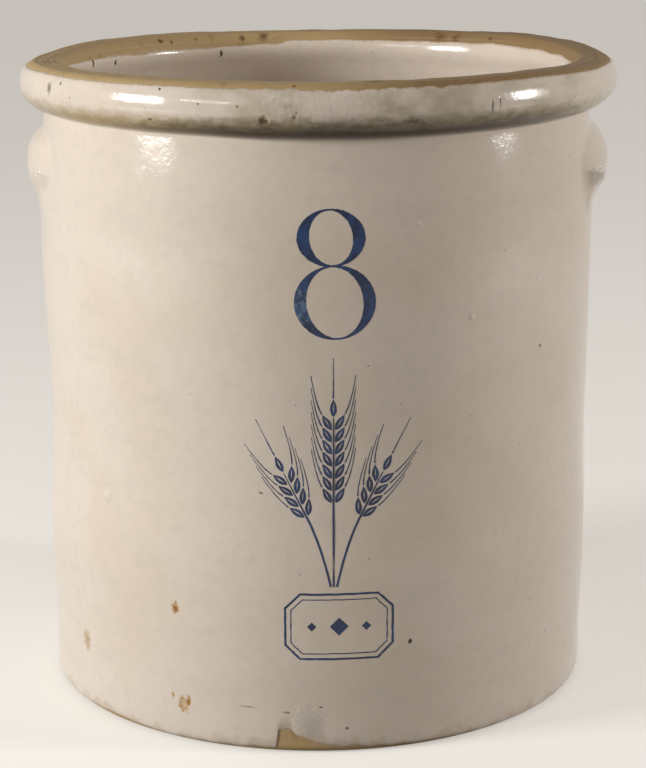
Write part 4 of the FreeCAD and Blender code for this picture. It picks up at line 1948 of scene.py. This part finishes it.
@dataclass(frozen=True)
class Studio:
    """A plain pale floor, soft lamps at both sides and the camera.

    The floor and the surround look pale and light the crock only a little, so that the lamps do.
    """

    floor_colour: str = "#DEDBD5"
    floor_bounce: str = "#65615D"
    floor_glow: float = 0.54
    backdrop: str = "#C8C5BE"
    ambient: str = "#FFF3EA"
    ambient_strength: float = 0.22
    floor_half: float = 9.0
    lit_place: tuple[float, float, float] = (0.0, 0.0, 0.25)
    lamps: tuple[Lamp, ...] = (
        Lamp("lamp_left", -67.5, 11.8, 2.1, 0.64, 0.46, 32.5),
        Lamp("lamp_right", 80.0, 11.3, 2.1, 0.34, 0.42, 17.5, "#FFFDFB"),
        Lamp("lamp_front_left", -41.0, 16.5, 2.4, 0.75, 0.1, 3.6),
    )
    camera_place: tuple[float, float, float] = (3.6, -1395.4, 530.5)
    camera_pitch: float = 14.02
    camera_roll: float = -0.19
    lens: float = 104.93
    sensor_height: float = 36.0

    def build(self) -> None:
        """Makes the floor, the lamps, the world and the camera."""
        for lamp in self.lamps:
            lamp.place(Vector(self.lit_place))
        self.floor()
        self.world()
        self.camera()

    def floor(self) -> bpy.types.Object:
        """Makes a matt floor that looks paler to the camera than it lights the crock.

        Returns:
            The floor.
        """
        half = self.floor_half
        corners = [(-half, -half, 0), (half, -half, 0), (half, half, 0), (-half, half, 0)]
        mesh = bpy.data.meshes.new("studio_floor")
        mesh.from_pydata(corners, [], [(0, 1, 2, 3)])
        floor = bpy.data.objects.new("studio_floor", mesh)
        bpy.context.scene.collection.objects.link(floor)
        material = bpy.data.materials.new("matt_floor")
        material.use_nodes = True
        tree = material.node_tree
        tree.nodes.clear()
        pale = add_node(tree, "ShaderNodeBsdfDiffuse", {"Color": linear(self.floor_colour)})
        dark = add_node(tree, "ShaderNodeBsdfDiffuse", {"Color": linear(self.floor_bounce)})
        glow = add_node(tree, "ShaderNodeEmission",
                        {"Color": linear(self.floor_colour), "Strength": self.floor_glow})
        lit = add_node(tree, "ShaderNodeAddShader", {0: pale.outputs[0], 1: glow.outputs[0]})
        both = add_node(tree, "ShaderNodeMixShader",
                        {0: self.looked_at(tree), 1: dark.outputs[0], 2: lit.outputs[0]})
        add_node(tree, "ShaderNodeOutputMaterial", {0: both.outputs[0]})
        mesh.materials.append(material)
        return floor

    def looked_at(self, tree: bpy.types.NodeTree) -> Socket:
        """Tells rays that show the surround from those that only light something.

        Args:
            tree: The node tree of the floor or the world.

        Returns:
            1 for rays from the camera, in a gloss or through glass, and 0 for others.
        """
        rays = add_node(tree, "ShaderNodeLightPath").outputs
        shown = add_node(tree, "ShaderNodeMath", {0: rays["Is Camera Ray"], 1: rays["Is Glossy Ray"]},
                         operation="MAXIMUM")
        return add_node(tree, "ShaderNodeMath", {0: shown.outputs[0], 1: rays["Is Transmission Ray"]},
                        operation="MAXIMUM").outputs[0]

    def world(self) -> None:
        """A pale surround to look at that lights the crock only a little."""
        world = bpy.data.worlds.new("studio_world")
        world.use_nodes = True
        tree = world.node_tree
        tree.nodes.clear()
        dim = add_node(tree, "ShaderNodeBackground",
                       {"Color": linear(self.ambient), "Strength": self.ambient_strength})
        pale = add_node(tree, "ShaderNodeBackground", {"Color": linear(self.backdrop), "Strength": 1.0})
        both = add_node(tree, "ShaderNodeMixShader",
                        {0: self.looked_at(tree), 1: dim.outputs[0], 2: pale.outputs[0]})
        add_node(tree, "ShaderNodeOutputWorld", {0: both.outputs[0]})
        bpy.context.scene.world = world

    def camera(self) -> None:
        """The camera at the photograph's height, tilt and lens."""
        data = bpy.data.cameras.new("camera")
        data.sensor_fit = "VERTICAL"
        data.sensor_height = self.sensor_height
        data.lens = self.lens
        camera = bpy.data.objects.new("camera", data)
        tilt = Matrix.Rotation(math.radians(90 - self.camera_pitch), 4, "X")
        roll = Matrix.Rotation(math.radians(self.camera_roll), 4, "Z")
        camera.matrix_world = Matrix.Translation(Vector(self.camera_place) * MM) @ tilt @ roll
        bpy.context.scene.collection.objects.link(camera)
        bpy.context.scene.camera = camera
        bpy.context.scene.view_settings.view_transform = "Standard"


class Slot(Enum):
    """The names of the material slots."""

    STONEWARE = "stoneware"
    SLIP = "luting_slip"
    GLAZE = "white_glaze"
    COBALT = "cobalt"


BLEMISHES = (
    Blemish(-29.1, 84.6, 2.8, -0.25, "#97683A", "#C79A5E", wide=0.7),
    Blemish(-56.5, 43.9, 5.0, -0.2, "#BFA67C", "#CDB899", wide=0.7),
    Blemish(-27.8, 23.9, 3.8, -0.4, "#D8BF98", "#BC8A48", wide=0.75),
    Blemish(-26.7, 25.9, 1.5, -0.2, "#A5691C", "#B98A3E", wide=0.35),
    Blemish(-30.3, 28.3, 1.1, 0.0, "#B4853C", "#C9A468", wide=0.5),
    Blemish(18.3, 68.0, 1.5, 0.0, "#1E1B18", "#4A4038"),
    Blemish(5.7, 16.1, 1.2, 0.0, "#5A4630", "#8C7658"),
    Blemish(49.9, 232.9, 1.3, 0.0, "#4A3826", "#8C7658"),
    Blemish(-10.9, 159.8, 1.3, 0.0, "#5A4630", "#A08A68"),
    Blemish(-47.4, 143.1, 5.0, 0.55, "#EBDFCF", "#E6D8C5"),
    Blemish(30.9, 258.0, 2.4, 0.4, "#EBDFCF", "#E6D8C5"),
    Blemish(19.5, 314.4, 2.2, 0.35, "#EBDFCF", "#E6D8C5"),
    Blemish(71.8, 328.7, 1.6, 0.8, "#EBDFCF", "#E6D8C5"),
    Blemish(74.9, 327.6, 1.7, 0.8, "#EBDFCF", "#E6D8C5"),
    Blemish(-75.0, 325.6, 1.5, 0.8, "#EBDFCF", "#E6D8C5"),
    Blemish(-72.5, 327.0, 1.7, 0.8, "#EBDFCF", "#E6D8C5"),
    Blemish(-70.8, 326.5, 1.2, 0.6, "#EBDFCF", "#E6D8C5"),
    Blemish(-9.2, 374.3, 3.0, -0.8, "#4A3418", "#8A6B3C", wide=0.8),
    Blemish(-3.9, 376.8, 1.8, -0.5, "#8F8067", "#B5A88F"),
    Blemish(31.6, 377.8, 0.9, -0.2, "#6A5C48", "#A89B86", wide=0.15),
    Blemish(33.2, 381.5, 0.8, -0.2, "#8A7C68", "#B5A893", wide=0.2),
    Blemish(-30.4, 372.0, 2.1, -0.4, "#7A5A3A", "#A8916C", wide=1.6),
    Blemish(-57.9, 383.7, 2.8, -0.6, "#8F8067", "#B9AC96", wide=0.7),
    Blemish(-54.0, 388.0, 1.6, -0.5, "#7D6C50", "#B9AC96"),
    Blemish(-28.8, 389.9, 0.9, 0.0, "#5A4630", "#8C7658"),
    Blemish(-21.0, 383.1, 0.9, 0.0, "#5A4630", "#8C7658"),
    Blemish(-13.9, 382.2, 0.9, 0.0, "#5A4630", "#8C7658"),
    Blemish(16.5, 373.5, 6.0, -0.2, "#6B5B40", "#8E8066", wide=2.4),
    Blemish(-2.2, 20.5, 9.5, 0.6, "#D5C9B9", "#D8CCBC", wide=0.9),
    Blemish(-14.2, 28.2, 7.0, -0.15, "#A39277", "#B8A98F", wide=15.0),
    Blemish(-6.2, 26.0, 3.4, -0.25, "#8E7D62", "#B8A98F", wide=4.0),
    Blemish(0.6, 29.8, 2.0, -0.3, "#6E5E48", "#D9CFC0", wide=4.0),
)

LIP_STAINS = (
    Blemish(-138.5, 389.9, 2.4, -0.2, "#5F4225", "#8F6F45", reach=158.1),
    Blemish(-141.6, 388.8, 1.8, -0.2, "#5F4225", "#8F6F45", reach=157.3),
    Blemish(-148.7, 389.8, 1.5, -0.1, "#6B4A28", "#8F6F45", reach=158.1),
    Blemish(-161.2, 389.0, 2.4, -0.1, "#6B4A28", "#8F6F45", reach=158.5),
    Blemish(-166.7, 389.7, 4.0, -0.1, "#77573A", "#94784F", reach=159.2),
    Blemish(148.3, 391.0, 6.0, -0.1, "#75502A", "#8F6B3C", reach=160.1),
    Blemish(143.9, 390.2, 5.0, -0.1, "#75502A", "#8F6B3C", reach=159.5),
    Blemish(133.6, 391.9, 2.4, -0.1, "#5F4225", "#8F6F45", reach=160.4),
    Blemish(-80.0, 392.0, 6.5, -0.7, "#B08E62", "#86663C", reach=163.5),
    Blemish(86.0, 393.0, 2.8, -0.6, "#4A3822", "#86663C", reach=171.2),
    Blemish(11.3, 394.0, 7.0, 0.0, "#7A5A30", "#94743F", reach=167.8),
    Blemish(-3.8, 393.0, 1.2, 0.0, "#8C3A22", "#9A6A40", reach=177.6),
)

EDGE_NICKS = (
    Blemish(-111.3, 382.0, 1.5, -0.4, "#2A2118", "#6A5A42", wide=0.5, reach=154.5),
    Blemish(-121.5, 379.5, 1.2, -0.4, "#2A2118", "#6A5A42", wide=0.5, reach=154.7),
    Blemish(-155.2, 379.9, 1.5, -0.4, "#2A2118", "#6A5A42", wide=0.5, reach=155.2),
)


def main() -> None:
    """Builds the crock piece by piece, then the studio."""
    logging.basicConfig(level=logging.INFO, format="%(name)s: %(message)s")
    crock = Crock.from_frame()
    clay = FiredStoneware().material(crock, LIP_STAINS)
    slip = LutingSlip().material()
    glaze = BristolGlaze()
    places = MarkPlaces(crock)
    settle(ClayBody(crock).mesh(), clay, ["body"])
    for ear, name in zip(crock.ears, ("ear_right", "ear_left")):
        settle(EarLug(crock, ear, name + "_lug").mesh(), clay, [name])
        bed = EarLug(crock, ear, name + "_slip", back=-0.8, most=0.15)
        settle(bed.mesh(), slip, [name.replace("ear", "luting")])
    outside, inside = OuterGlaze(crock).mesh(), InnerGlaze(crock).mesh()
    settle(outside, glaze.material(crock, BLEMISHES), ["glaze_outside"])
    settle(inside, glaze.inside_material(crock, EDGE_NICKS), ["glaze_inside"])
    cobalt = CobaltStain().material(crock)
    wheat_low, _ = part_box("wheat_spray")
    panel_low, panel_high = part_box("bordered_panel")
    wheat = Wheat(foot=(places.offset, wheat_low.z / MM))
    panel = Panel(centre=(places.panel_offset, (panel_low.z + panel_high.z) / 2 / MM))
    for mark in [places.numeral(), wheat.mark(crock)] + panel.marks(crock):
        settle(mark.mesh(), cobalt, [mark.node])
    Studio().build()


if __name__ == "__main__":
    main()
